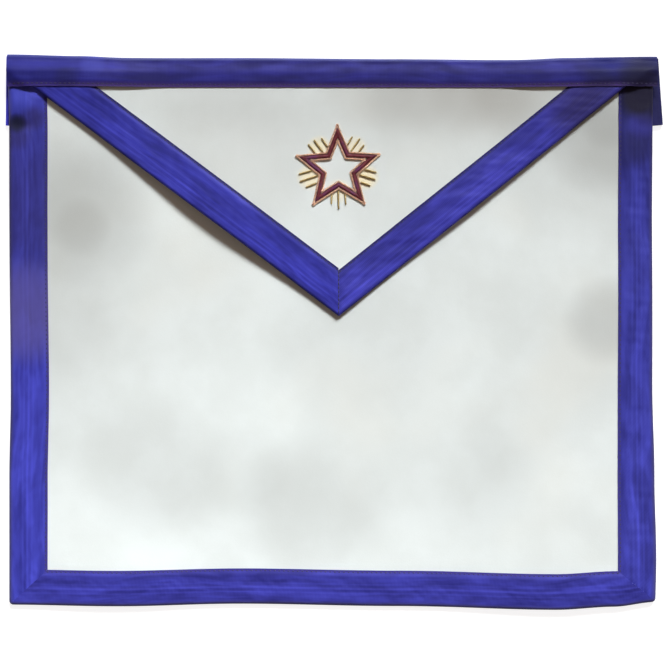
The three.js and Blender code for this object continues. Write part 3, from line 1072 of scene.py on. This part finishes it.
@dataclass
class Body:
    """The leather panel with its side and bottom ribbons and the two belt tabs."""

    pattern: Pattern
    centre: np.ndarray
    thread: bpy.types.Material
    leather_step: float = 2.6
    dent: float = 0.35
    dent_lengths: tuple[float, float] = (95.0, 80.0)
    clear_of_ribbon: tuple[float, float] = (24.0, 60.0)
    clear_of_flap: tuple[float, float] = (5.0, 40.0)
    mitre_gap: float = 0.06
    tab_overhang_left: float = 1.4
    tab_overhang_right: float = 4.0
    tab_tilt_left: float = 2.1
    tab_tilt_right: float = 4.5
    tab_swell: float = 1.5
    swell_place: float = 12.5
    swell_reach: float = 7.5
    tab_dip: float = 0.64
    dip_reach: float = 3.2
    # Painted light: the left tab's silk is painted lighter, against the shadow it lies in.
    left_tab_lit_silk: Silk = ((0.034, 0.034, 0.48), (0.08, 0.08, 0.85))
    # Painted shade: the right tab's silk is painted darker.
    right_tab_shaded_silk: Silk = ((0.010, 0.009, 0.06), (0.027, 0.025, 0.15))
    right_silk: Silk = ((0.023, 0.023, 0.21), (0.061, 0.065, 0.49))
    side_silk: Silk = ((0.024, 0.025, 0.24), (0.064, 0.069, 0.54))
    bottom_silk: Silk = ((0.017, 0.016, 0.165), (0.050, 0.051, 0.40))
    # Painted light on the left side ribbon, each tone with its marks.
    left_painted_light: Tints = (
        # Painted shade where the light dims along it, and in the dip below the tab.
        ((0.030, 0.024, 0.10), (
            Mark(-0.1936, 0.0805, 0.060, 0.42),
            Mark(-0.1898, 0.1348, 0.010, 0.55),
            Mark(-0.2005, 0.1250, 0.013, 0.45),
        )),
        # Painted highlight on the swell over the tab.
        ((0.062, 0.074, 0.53), (Mark(-0.1986, 0.1470, 0.012, 0.60),)),
        # Painted light that lifts the shadow under the waist ribbon's edge.
        ((0.090, 0.100, 0.68), (Mark(-0.1860, 0.1535, 0.008, 0.75),)),
        # Painted sheen, a hazy lighter patch lower down.
        ((0.110, 0.090, 0.27), (Mark(-0.1942, 0.0128, 0.038, 0.60),)),
        # Painted shade in the dip just below the tab.
        ((0.008, 0.009, 0.03), (Mark(-0.1997, 0.1315, 0.0075, 0.95),)),
    )
    # Painted light on the right side ribbon, each tone with its marks.
    right_painted_light: Tints = (
        # Painted highlight on the silk by the tab.
        ((0.060, 0.055, 0.40), (Mark(0.1935, 0.1310, 0.011, 0.45),)),
        # Painted shade at its upper end, under the waist ribbon and beside the tab.
        ((0.010, 0.008, 0.03), (
            Mark(0.1990, 0.1480, 0.021, 0.85),
            Mark(0.1860, 0.1500, 0.017, 0.60),
            Mark(0.1870, 0.1150, 0.015, 0.45),
        )),
    )
    # Painted shade on the panel's leather.
    marks: Marks = (
        Mark(-0.161, 0.074, 0.055, 0.44),
        Mark(-0.160, 0.066, 0.022, 0.20),
        Mark(-0.175, 0.010, 0.045, 0.18),
        Mark(-0.175, -0.050, 0.050, 0.12),
        Mark(0.171, 0.123, 0.045, 0.42),
        Mark(0.172, 0.132, 0.020, 0.22),
        Mark(0.172, 0.007, 0.032, 0.38),
        Mark(0.020, -0.010, 0.075, 0.15),
        Mark(-0.115, -0.088, 0.055, 0.20),
        Mark(-0.058, -0.088, 0.035, 0.14),
        Mark(-0.012, -0.112, 0.055, 0.30),
        Mark(0.073, -0.109, 0.075, 0.15),
        Mark(0.100, -0.104, 0.042, 0.10),
        Mark(0.112, -0.060, 0.040, 0.12),
        Mark(0.148, -0.138, 0.040, 0.20),
    )

    def build(self) -> None:
        """Builds the pieces of the body."""
        self.panel()
        for binding, finish in self.borders():
            binding.made(finish)
            binding.stitches(self.thread)
        for side in Side:
            self.tab(side)

    def panel(self) -> None:
        """Builds the leather panel, with the small dents that handling leaves in it."""
        p = self.pattern
        edge_x, edge_y = p.left + p.panel_fold, p.bottom + p.panel_fold
        columns = round(-2.0 * edge_x / self.leather_step)
        rows = round(-2.0 * edge_y / self.leather_step)
        piece, shares = cloth_grid("leather_panel", columns, rows)
        x = edge_x + shares[:, 0] * -2.0 * edge_x
        y = edge_y + shares[:, 1] * -2.0 * edge_y
        inwards = np.minimum(np.minimum(x - p.left, p.right - x), y - p.bottom)
        under_flap = np.where(x < p.apex[0], p.flap_edge(Side.LEFT).y_at(x, 0.0),
                              p.flap_edge(Side.RIGHT).y_at(x, 0.0))
        open_air = smoothstep(inwards, *self.clear_of_ribbon)
        open_air = open_air * smoothstep(under_flap - y, *self.clear_of_flap)
        dents = 0.5 + 0.5 * np.clip(ripples(x, y, self.dent_lengths, 11), -1.0, 1.0)
        z = p.panel_middle(x, y) + self.dent * dents * open_air
        set_points(piece.data, p.in_frame(x, y, z, self.centre))
        write_uv(piece.data, np.column_stack((x, y)) * MM)
        thicken(piece, p.panel_thickness)
        own(piece, Leather("white_lambskin", self.marks).made(), Slot.LEATHER, "apron_panel")

    def borders(self) -> list[tuple[Binding, bpy.types.Material]]:
        """Gives the side and bottom ribbons, mitred at the bottom corners, and their finishes."""
        p = self.pattern
        left_mitre = p.bottom_ribbon / p.left_ribbon
        right_mitre = p.bottom_ribbon / p.right_ribbon
        gap = self.mitre_gap

        def binding(
            name: str, width: float, start: Line, end: Line, seed: int,
            mitred: tuple[bool, bool], rise: Rise = no_rise, gloom: float = 0.0,
            tints: Tints = (),
            silk: Silk = self.side_silk,
        ) -> tuple[Binding, bpy.types.Material]:
            """Gives one ribbon of the border and its finish.

            Args:
                name: The node's name.
                width: The width that shows.
                start: The line it starts at.
                end: The line it ends at.
                seed: Picks its puckers and its figure.
                mitred: Whether its start and its end are mitred.
                rise: How far it stands off the panel.
                gloom: How dark painted shade makes its start.
                tints: Its tones and where they show.
                silk: Its deep and its light colour.

            Returns:
                The ribbon and its material.
            """
            course = Course(width, p.panel_fold, turn=p.back_turn)
            made = Binding(name, p, self.centre, course, start, end, p.panel_middle, seed,
                           rise=rise, mitred=mitred)
            fold = width - p.panel_fold
            finish = MoireRibbon(f"{name}_silk", *silk, crease=width * 0.54, seed=seed * 7.3,
                                 gloom=(0.01, 0.09, gloom, 0.0), rim=(fold - 1.2, fold + 1.6),
                                 tints=tints)
            return made, finish.made()

        return [
            binding(
                "side_ribbon_left", p.left_ribbon,
                lambda i: (p.left + i, p.bottom + gap + i * left_mitre),
                lambda i: (p.left + i, np.full_like(i, p.tuck_line)), 3, (True, False),
                self.over_left_tab, tints=self.left_painted_light,
            ),
            # Painted shade darkens the right ribbon's upper end, under the waist ribbon.
            binding(
                "side_ribbon_right", p.right_ribbon,
                lambda i: (p.right - i, np.full_like(i, p.tuck_line)),
                lambda i: (p.right - i, p.bottom + gap + i * right_mitre), 5, (False, True),
                gloom=0.78, tints=self.right_painted_light, silk=self.right_silk,
            ),
            binding(
                "bottom_ribbon", p.bottom_ribbon,
                lambda i: (p.right - i / right_mitre, p.bottom + i),
                lambda i: (p.left + i / left_mitre, p.bottom + i), 8, (True, True),
                silk=self.bottom_silk,
            ),
        ]

    def over_left_tab(
        self, x: np.ndarray, y: np.ndarray, inwards: np.ndarray
    ) -> np.ndarray:
        """Gives how the left ribbon swells over the tab and dips just below it."""
        tab_end = self.pattern.top - self.pattern.tab_height
        swell = self.tab_swell * bell(y - tab_end - self.swell_place, self.swell_reach)
        dip = self.tab_dip * bell(y - tab_end + 1.0, self.dip_reach)
        across = smoothstep(inwards, 1.2, 4.0) * (1.0 - smoothstep(inwards, 11.0, 21.0))
        return (swell - dip) * across

    def tab(self, side: Side) -> None:
        """Builds the folded ribbon behind one top corner."""
        p, left = self.pattern, side is Side.LEFT
        tilt = math.radians(self.tab_tilt_left if left else self.tab_tilt_right)
        fold_x = p.left - self.tab_overhang_left if left else p.right + self.tab_overhang_right

        def along(inwards: np.ndarray, down: float) -> tuple[np.ndarray, np.ndarray]:
            """Gives the line across the tab at a distance down from its upper end."""
            x = fold_x + side.value * (down * math.sin(tilt) - inwards * math.cos(tilt))
            return x, p.top - p.tab_drop - down * math.cos(tilt) - inwards * math.sin(tilt)

        ends = (lambda i: along(i, 0.0), lambda i: along(i, p.tab_height))
        start, end = (ends[1], ends[0]) if left else ends
        name = f"belt_tab_{side.name.lower()}"
        course = Course(p.tab_reach, p.tab_fold, turn=p.tab_reach, wall=0.8)
        made = Binding(name, p, self.centre, course, start, end,
                       lambda x, y: np.full_like(x, p.tab_fold), 21 + side.value, pucker=0.1)
        deep, light = self.left_tab_lit_silk if left else self.right_tab_shaded_silk
        made.made(MoireRibbon(f"{name}_silk", deep, light, seed=12.0 + side.value).made())


@dataclass
class Flap:
    """The bound leather flap that is folded down over the panel."""

    pattern: Pattern
    centre: np.ndarray
    thread: bpy.types.Material
    leather_step: float = 2.4
    lip_angle: float = 200.0
    seam_gap: float = 0.05
    seam_stitches: int = 11
    seam_ends: tuple[float, float] = (1.4, 0.9)
    seam_thread_width: float = 0.95
    # The tone of the painted shade on the flap's leather.
    painted_shade: Colour = (0.375, 0.360, 0.330)
    # Painted shade on the flap's leather, most of it just under the waist ribbon.
    marks: Marks = (
        Mark(0.020, 0.156, 0.036, 0.20),
        Mark(0.045, 0.155, 0.038, 0.20),
        Mark(0.070, 0.153, 0.040, 0.23),
        Mark(0.095, 0.153, 0.040, 0.25),
        Mark(0.120, 0.153, 0.040, 0.26),
        Mark(0.080, 0.140, 0.070, 0.12),
        Mark(-0.066, 0.110, 0.060, 0.27),
    )
    # Painted gold glow round each group of the star's rays.
    ray_glow: Marks = (
        Mark(0.0130, 0.1165, 0.0088, 0.46),
        Mark(0.0200, 0.0980, 0.0093, 0.70),
        Mark(0.0025, 0.0890, 0.0088, 0.42),
        Mark(-0.0155, 0.0980, 0.0093, 0.60),
        Mark(-0.0095, 0.1165, 0.0088, 0.55),
    )
    left_silk: Silk = ((0.017, 0.017, 0.205), (0.049, 0.051, 0.48))
    right_silk: Silk = ((0.023, 0.022, 0.215), (0.061, 0.059, 0.50))
    # Painted shade on the upper end of the right flap ribbon.
    right_painted_light: Tints = (
        ((0.030, 0.022, 0.08), (Mark(0.160, 0.146, 0.036, 0.60),)),
    )

    def build(self) -> None:
        """Builds the flap's leather and its two ribbons."""
        self.leather()
        for side in Side:
            binding = self.ribbon(side)
            silk = self.left_silk if side is Side.LEFT else self.right_silk
            finish = MoireRibbon(f"{binding.name}_silk", *silk, crease=17.4, seed=31.0 + side.value,
                                 selvedge_and_shade=(0.020, 0.018, 0.13), edge_width=1.9,
                                 tints=self.right_painted_light if side is Side.RIGHT else ())
            binding.made(finish.made())
            binding.stitches(self.thread)
        self.seam_thread(self.ribbon(Side.LEFT))

    def seam_thread(self, binding: Binding) -> None:
        """Sews the seam up from the flap's point, beside the start of the left ribbon."""
        course, count = binding.course, self.seam_stitches + 1
        inwards = np.linspace(self.seam_ends[0], course.width - self.seam_ends[1], count)
        height = np.full(count, course.fold)
        x, y, z = binding.place(np.zeros(count), inwards, height, course.width - inwards,
                                np.full(count, True))
        line = self.pattern.in_frame(x, y, z, self.centre)
        thread_row("flap_seam_stitches", line[:-1], line[1:], self.seam_thread_width, self.thread)

    def leather(self) -> None:
        """Builds the flap's leather, a triangle with a blunt point inside its ribbons."""
        p = self.pattern
        left, right = p.flap_edge(Side.LEFT), p.flap_edge(Side.RIGHT)

        def ends(y: np.ndarray) -> tuple[np.ndarray, np.ndarray]:
            """Gives the leather's left and right ends at a height."""
            return left.x_at(y, p.flap_fold), right.x_at(y, p.flap_fold)

        top_width = float(np.diff(ends(p.waist_line))[0])
        narrowing = (top_width - float(np.diff(ends(p.apex[1]))[0])) / (p.waist_line - p.apex[1])
        tip = p.waist_line - (top_width - p.flap_tip) / narrowing
        columns = round(top_width / self.leather_step)
        rows = round((p.tuck_line - tip) / self.leather_step)
        piece, shares = cloth_grid("leather_flap", columns, rows)
        y = tip + shares[:, 1] * (p.tuck_line - tip)
        x1, x2 = ends(y)
        x = x1 + shares[:, 0] * (x2 - x1)
        z = p.flap_middle(x, y)
        set_points(piece.data, p.in_frame(x, y, z, self.centre))
        write_uv(piece.data, np.column_stack((x, y)) * MM)
        thicken(piece, p.flap_thickness)
        finish = Leather("flap_lambskin", self.marks, self.ray_glow, painted_shade=self.painted_shade).made()
        own(piece, finish, Slot.LEATHER, "flap_panel")
        high = float(np.diff(ends(p.tuck_line))[0])

    def ribbon(self, side: Side) -> Binding:
        """Gives the ribbon of one slanting edge."""
        p, edge = self.pattern, self.pattern.flap_edge(side)
        seam_x = p.apex[0] + side.value * self.seam_gap / 2.0

        def seam(inwards: np.ndarray) -> tuple[np.ndarray, np.ndarray]:
            """Gives the line of the seam above the flap's point."""
            return np.full_like(inwards, seam_x), edge.y_at(seam_x, inwards)

        def under_waist(inwards: np.ndarray) -> tuple[np.ndarray, np.ndarray]:
            """Gives the line under the waist ribbon where the flap's ribbon ends."""
            return edge.x_at(p.tuck_line, inwards), np.full_like(inwards, p.tuck_line)

        left = side is Side.LEFT
        start, end = (seam, under_waist) if left else (under_waist, seam)
        width = p.left_flap_ribbon if left else p.right_flap_ribbon
        course = Course(width, p.flap_fold, last_angle=self.lip_angle)
        return Binding(f"flap_ribbon_{side.name.lower()}", p, self.centre, course, start, end,
                       p.flap_middle, 40 + side.value, mitred=(left, not left))


@dataclass
class Waist:
    """The ribbon over the waist edge, on top of the flap and of the side ribbons."""

    pattern: Pattern
    centre: np.ndarray
    thread: bpy.types.Material
    ramp: float = 15.5
    corner_fall: float = 2.2
    fall_width: tuple[float, float] = (0.5, 7.5)
    # Tones on the waist ribbon, each with its marks: a deeper blue, then painted light.
    tints: Tints = (
        # A deeper blue at the left end.
        ((0.014, 0.017, 0.25), (Mark(-0.190, 0.168, 0.050, 0.38),)),
        # Painted highlight at the left end.
        ((0.060, 0.066, 0.46), (Mark(-0.152, 0.169, 0.010, 0.40),)),
        # Painted shade on the upper half of the right end.
        ((0.007, 0.010, 0.17), (
            Mark(0.1700, 0.1705, 0.013, 0.62),
            Mark(0.1880, 0.1705, 0.013, 0.58),
            Mark(0.2040, 0.1705, 0.012, 0.45),
        )),
        # Painted shade along the lower edge near both ends.
        ((0.010, 0.009, 0.03), (
            Mark(0.1930, 0.1600, 0.018, 0.80),
            Mark(0.1660, 0.1570, 0.013, 0.50),
            Mark(-0.1680, 0.1590, 0.010, 0.40),
        )),
    )

    def build(self) -> None:
        """Builds the ribbon and its stitches."""
        p = self.pattern
        flat = p.waist_ribbon - p.tuck - p.gap
        course = Course(p.waist_ribbon, p.panel_fold, turn=flat)
        binding = Binding(
            "waist_ribbon", p, self.centre, course,
            lambda i: (np.full_like(i, p.left), p.top - i),
            lambda i: (np.full_like(i, p.right + p.waist_overhang_right), p.top - i),
            p.panel_middle, 50, rise=self.rise, crease=0.0, stitch_inset=1.7,
        )
        # Its shade is painted shade towards the inner edge, and its gloom painted shade at the right
        # end.
        finish = MoireRibbon(
            "waist_silk", deep=(0.016, 0.014, 0.135), light=(0.037, 0.035, 0.34),
            selvedge_and_shade=(0.058, 0.032, 0.165), worn=(0.11, 0.125, 0.33), rim=(15.8, 18.0),
            tints=self.tints, crease=-9.0, edge_width=2.6, shade=0.24, patchiness=0.36,
            gloom=(0.345, 0.39, 0.0, 0.5), seed=61.0,
        )
        binding.made(finish.made())
        binding.stitches(self.thread)

    def rise(self, x: np.ndarray, y: np.ndarray, inwards: np.ndarray) -> np.ndarray:
        """Gives how far the front rises to clear the flap, and how it falls again at its ends."""
        p = self.pattern
        left, right = p.flap_edge(Side.LEFT), p.flap_edge(Side.RIGHT)
        from_left = x - left.x_at(p.waist_line, p.left_flap_ribbon + p.gap)
        from_right = right.x_at(p.waist_line, p.right_flap_ribbon + p.gap) - x
        over = 1.0 - smoothstep(np.minimum(from_left, from_right), self.ramp, 3.0 * self.ramp)
        level = np.full_like(x, p.waist_line)
        stack = p.flap_lift(x, level) + p.flap_thickness + p.ribbon_layer * over
        flat = p.waist_ribbon - p.tuck - p.gap
        beyond = np.maximum(left.x_at(y, 0.0) - x, x - right.x_at(y, 0.0)) * math.sin(left.slope)
        fall = self.corner_fall * smoothstep(beyond, *self.fall_width)
        return stack * smoothstep(inwards, p.panel_fold, flat) - fall


@dataclass(frozen=True)
class RayGroup:
    """Three rays out of one notch of the star. Their reaches are shares of the star's radius, and
    aside, how far they lie to the right of the notch, is a share of the rays' spacing."""

    reach: tuple[float, float, float]
    aside: float


@dataclass
class StarEmblem:
    """The embroidered star: a padded band between two gold cords, and gold rays around it."""

    pattern: Pattern
    centre: np.ndarray
    cord_gold: bpy.types.Material
    ray_gold: bpy.types.Material
    radius: float = 28.3
    notch: float = 0.45
    drop: float = 69.6
    shift: float = -0.3
    turn: float = math.radians(1.4)
    cord_width: float = 1.4
    outset: float = 0.45
    tip_reach: float = 0.1
    tip_start: float = 1.6
    band_width: float = 2.6
    band_height: float = 1.15
    gap: float = -0.1
    ray_radius: float = 0.6
    ray_gap: float = 0.3
    ray_core: float = 0.93
    ray_coil: float = 0.09
    ray_squash: float = 0.9
    ray_seat: float = 0.85
    ray_spacing: float = 4.2
    ray_fan: float = math.radians(3.0)
    points: int = 5
    rays: tuple[RayGroup, ...] = (
        RayGroup((0.78, 0.84, 0.78), 0.07),
        RayGroup((0.855, 0.875, 0.81), -0.05),
        RayGroup((0.815, 0.91, 0.8), 0.05),
        RayGroup((0.83, 0.92, 0.885), 0.05),
        RayGroup((0.855, 0.85, 0.785), -0.3),
    )

    @property
    def half_turn(self) -> float:
        """The angle from a point of the star to the next notch."""
        return math.pi / self.points

    @property
    def side_angle(self) -> float:
        """The angle from a point to the line from the centre square to the star's side."""
        beside = self.notch * math.sin(self.half_turn)
        return math.pi / 2.0 - math.atan2(beside, 1.0 - self.notch * math.cos(self.half_turn))

    @property
    def side_distance(self) -> float:
        """The distance of the star's outermost sides from its centre."""
        return self.radius * math.cos(self.side_angle)

    def build(self) -> None:
        """Builds the band, the cords and the rays."""
        inset = self.cord_width - self.outset + self.gap
        self.band(inset)
        self.cord("star_cord_outer", self.side_distance + self.outset - self.cord_width / 2.0)
        inner = self.side_distance - inset - self.band_width - self.gap - self.cord_width / 2.0
        self.cord("star_cord_inner", inner)
        for number in range(self.points):
            for place, word in ((-1, "left"), (0, "middle"), (1, "right")):
                self.ray(number, place, f"ray_{number + 1}_{word}")

    def on_flap(self, local: np.ndarray) -> np.ndarray:
        """Moves points from the star's own centre onto the flap, and gives them in the frame."""
        p = self.pattern
        c, s = math.cos(self.turn), math.sin(self.turn)
        x = local[:, 0] * c - local[:, 1] * s + p.apex[0] + self.shift
        y = local[:, 0] * s + local[:, 1] * c + p.top - self.drop
        return p.in_frame(x, y, local[:, 2] + p.flap_top(x, y), self.centre)

    def corner(self, index: int, distance: float) -> np.ndarray:
        """Gives a corner of the star whose sides lie at a distance from the centre. Even ones are
        its points and odd ones its notches, clockwise from the top."""
        angle = index * self.half_turn
        lean = self.side_angle if index % 2 == 0 else self.side_angle - self.half_turn
        reach = distance / math.cos(lean)
        return np.array((math.sin(angle), math.cos(angle))) * reach

    def band(self, inset: float) -> None:
        """Builds the padded band, with a ridge for each laid thread."""
        outer = self.side_distance - inset
        steps, rings = 150, 12
        thread_pitch, thread_depth, padding, sunk = 0.42, 0.075, 0.25, 0.05
        angles = np.linspace(0.0, math.pi, rings + 1)
        distance = outer - self.band_width / 2.0 + np.cos(angles) * self.band_width / 2.0
        rows = []
        for index in range(2 * self.points):
            tip = np.array([self.corner(index, d) for d in distance])
            end = np.array([self.corner(index + 1, d) for d in distance])
            run = (end[0] - tip[0]) / np.linalg.norm(end[0] - tip[0])
            for step in range(steps):
                flat = tip + (end - tip) * (step / steps)
                phase = (flat @ run) / thread_pitch
                ridge = 1.0 - thread_depth * (1.0 - np.abs(np.sin(math.pi * phase)))
                height = np.sin(angles) * (self.band_height + padding) * ridge - sunk
                rows.append(np.column_stack((flat, height)))
        piece = self.loop_of("star_band_satin", np.array(rows))
        own(piece, SatinThread("crimson_satin").made(), Slot.THREAD, "star_band")

    def loop_of(self, name: str, rows: np.ndarray) -> bpy.types.Object:
        """Joins rings of points into a closed band round the star.

        Args:
            name: The piece's name.
            rows: Ring by ring, the points of each.

        Returns:
            The object.
        """
        faces = ring_quads(*rows.shape[:2], closed=True)
        piece = mesh_piece(name, self.on_flap(rows.reshape(-1, 3)), faces)
        face_outwards(piece)
        return piece

    def cord_corners(self, distance: float) -> np.ndarray:
        """Gives the corners of a cord's path. At each point of the star it turns bluntly."""
        corners = []
        for index in range(2 * self.points):
            corner = self.corner(index, distance)
            if index % 2:
                corners.append(corner)
                continue
            outwards = corner / np.linalg.norm(corner)
            beside = np.array((outwards[1], -outwards[0])) * self.cord_width * 0.3
            tip = corner + outwards * self.tip_reach
            arrive, leave = (self.corner(index + turn, distance) - corner for turn in (-1, 1))
            share = self.tip_start / np.linalg.norm(arrive)
            corners += [corner + arrive * share, tip - beside, tip + beside, corner + leave * share]
        return np.array(corners)

    def cord(self, name: str, distance: float) -> None:
        """Builds one gold cord, two wires twisted round each other."""
        corners = self.cord_corners(distance)
        step, pitch, wire, sides, lay = 0.13, 1.9, 0.39, 6, 0.31
        path = []
        for index, corner in enumerate(corners):
            end = corners[(index + 1) % len(corners)]
            count = round(np.linalg.norm(end - corner) / step)
            path.append(corner + (end - corner) * (np.arange(count) / count)[:, None])
        path = np.concatenate(path)
        for _ in range(3):
            path = (np.roll(path, 1, 0) + path + np.roll(path, -1, 0)) / 3.0
        ahead = np.roll(path, -1, 0) - np.roll(path, 1, 0)
        ahead = ahead / np.linalg.norm(ahead, axis=1, keepdims=True)
        beside = np.column_stack((-ahead[:, 1], ahead[:, 0]))
        walked = np.cumsum(np.linalg.norm(np.roll(path, -1, 0) - path, axis=1))
        turns = round(walked[-1] / pitch)
        twist = 2.0 * math.pi * turns * walked / walked[-1]
        strands = []
        for half in (0.0, math.pi):
            side = np.cos(twist + half)[:, None] * beside * lay
            middle = np.column_stack((path + side, wire + lay + lay * np.sin(twist + half)))
            around = np.linspace(0.0, 2.0 * math.pi, sides, endpoint=False)
            ring = np.cos(around)[None, :, None] * np.column_stack((beside, 0.0 * twist))[:, None, :]
            ring = ring + np.sin(around)[None, :, None] * np.array((0.0, 0.0, 1.0))
            strands.append(middle[:, None, :] + ring * wire)
        pieces = [self.loop_of(f"{name}_{i}", rows) for i, rows in enumerate(strands)]
        bpy.ops.object.select_all(action="DESELECT")
        for piece in pieces:
            piece.select_set(True)
        bpy.context.view_layer.objects.active = pieces[0]
        bpy.ops.object.join()
        pieces[0].name = pieces[0].data.name = f"{name}_wire"
        own(pieces[0], self.cord_gold, Slot.WIRE, name)

    def ray(self, number: int, place: int, node: str) -> None:
        """Builds one ray of coiled wire, out of a notch of the star."""
        notch_radius = self.radius * self.notch
        away = self.radius * math.cos(self.half_turn) - notch_radius
        slant = away / (self.radius * math.sin(self.half_turn))
        group = self.rays[number]
        across = (group.aside + place) * self.ray_spacing
        start = notch_radius + abs(across) * slant + self.ray_gap + self.ray_radius
        length = group.reach[place + 1] * self.radius - start - self.ray_radius
        sides, pitch, per_turn = 10, 0.52, 5
        low, high = -self.ray_radius / 2.0, length + self.ray_radius / 2.0
        count = round((high - low) / pitch * per_turn)
        along = np.linspace(low, high, count + 1)
        around = np.linspace(0.0, 2.0 * math.pi, sides, endpoint=False)
        from_end = np.minimum(along - low, high - along)
        cap = np.sqrt(np.clip(1.0 - (1.0 - np.minimum(from_end / self.ray_radius, 1.0)) ** 2, 0.02, 1))
        coil = np.cos(2.0 * math.pi * along[:, None] / pitch - around[None, :])
        radius = self.ray_radius * cap[:, None] * (self.ray_core + self.ray_coil * coil)
        x = radius * np.cos(around)
        z = radius * np.sin(around) * self.ray_squash + self.ray_radius * self.ray_seat
        fan = -place * self.ray_fan
        y = np.broadcast_to(along[:, None], x.shape)
        px = x * math.cos(fan) - y * math.sin(fan) + across
        py = x * math.sin(fan) + y * math.cos(fan) + start
        turn = -(2 * number + 1) * self.half_turn
        qx = px * math.cos(turn) - py * math.sin(turn)
        qy = px * math.sin(turn) + py * math.cos(turn)
        rings = np.stack((qx, qy, z), -1)
        faces = [list(face) for face in ring_quads(count + 1, sides, closed=False)]
        faces += [list(range(sides)), list(range(count * sides, (count + 1) * sides))]
        piece = mesh_piece(f"{node}_purl", self.on_flap(rings.reshape(-1, 3)), faces)
        face_outwards(piece)
        own(piece, self.ray_gold, Slot.WIRE, node)


@dataclass
class Studio:
    """The floor, the soft lights and the camera over the apron."""

    image_centre: tuple[float, float] = (-0.00019, -0.00107)
    view_width: float = 0.4212
    plane_height: float = 0.005
    lens: float = 100.0
    sensor: float = 36.0
    air: float = 0.18
    air_colour: tuple[float, float, float, float] = (1.0, 0.75, 0.59, 1.0)
    key: float = 1661.0
    key_colour: tuple[float, float, float] = (0.945, 0.99, 1.015)
    key_radius: float = 0.7
    key_cone: float = math.radians(30.0)
    key_aim: tuple[float, float, float] = (-0.214, -1.017, 0.0)
    key_away: float = 3.0
    key_elevation: float = math.radians(34.0)
    key_bearing: float = math.radians(75.0)

    def build(self) -> None:
        """Sets up the floor, the lights and the camera."""
        bpy.context.scene.view_settings.view_transform = "Standard"
        bpy.ops.object.select_all(action="DESELECT")
        bpy.ops.mesh.primitive_plane_add(size=6.0)
        floor = bpy.context.active_object
        floor.name = "floor"
        floor.data.materials.append(PaleFloor().made())
        self.world()
        self.lights()
        self.camera()

    def world(self) -> None:
        """Fills the air with soft light."""
        world = bpy.data.worlds.new("soft_air")
        world.use_nodes = True
        back = world.node_tree.nodes["Background"]
        back.inputs["Color"].default_value = self.air_colour
        back.inputs["Strength"].default_value = self.air
        bpy.context.scene.world = world

    def lights(self) -> None:
        """Adds the wide key light, high beyond the waist, whose cone fades towards the waist."""
        key = bpy.data.lights.new("key", "SPOT")
        key.energy, key.shadow_soft_size, key.color = self.key, self.key_radius, self.key_colour
        key.spot_size, key.spot_blend = self.key_cone, 1.0
        flat = self.key_away * math.cos(self.key_elevation)
        towards = (
            flat * math.cos(self.key_bearing),
            flat * math.sin(self.key_bearing),
            self.key_away * math.sin(self.key_elevation),
        )
        self.aim(key, tuple(a + b for a, b in zip(self.key_aim, towards)), self.key_aim)

    def aim(
        self, light: bpy.types.Light, place: tuple[float, float, float],
        target: tuple[float, float, float],
    ) -> None:
        """Puts a light at a place and turns it to a target."""
        lamp = bpy.data.objects.new(light.name, light)
        bpy.context.scene.collection.objects.link(lamp)
        lamp.location = place
        lamp.rotation_euler = (Vector(target) - Vector(place)).to_track_quat("-Z", "Y").to_euler()

    def camera(self) -> None:
        """Hangs the camera straight above the apron."""
        data = bpy.data.cameras.new("camera")
        data.lens, data.sensor_width = self.lens, self.sensor
        camera = bpy.data.objects.new("camera", data)
        bpy.context.scene.collection.objects.link(camera)
        away = self.view_width * self.lens / self.sensor
        camera.location = (*self.image_centre, self.plane_height + away)
        bpy.context.scene.camera = camera


def main() -> None:
    """Builds the apron piece by piece, and its surroundings."""
    logging.basicConfig(level=logging.INFO, format="%(name)s %(message)s")
    bpy.ops.object.select_all(action="DESELECT")
    pattern = Pattern()
    centre = pattern.corner_in_frame()
    LOG.info("pattern centre in the frame: %.2f, %.2f mm", *centre)
    Studio().build()
    thread = SewingThread("navy_cotton").made()
    Body(pattern, centre, thread).build()
    Flap(pattern, centre, thread).build()
    Waist(pattern, centre, thread).build()
    ray_gold = GiltWire("gilt_purl", (0.42, 0.31, 0.12), (0.29, 0.21, 0.08)).made()
    StarEmblem(pattern, centre, GiltWire("gilt_cord").made(), ray_gold).build()


if __name__ == "__main__":
    main()
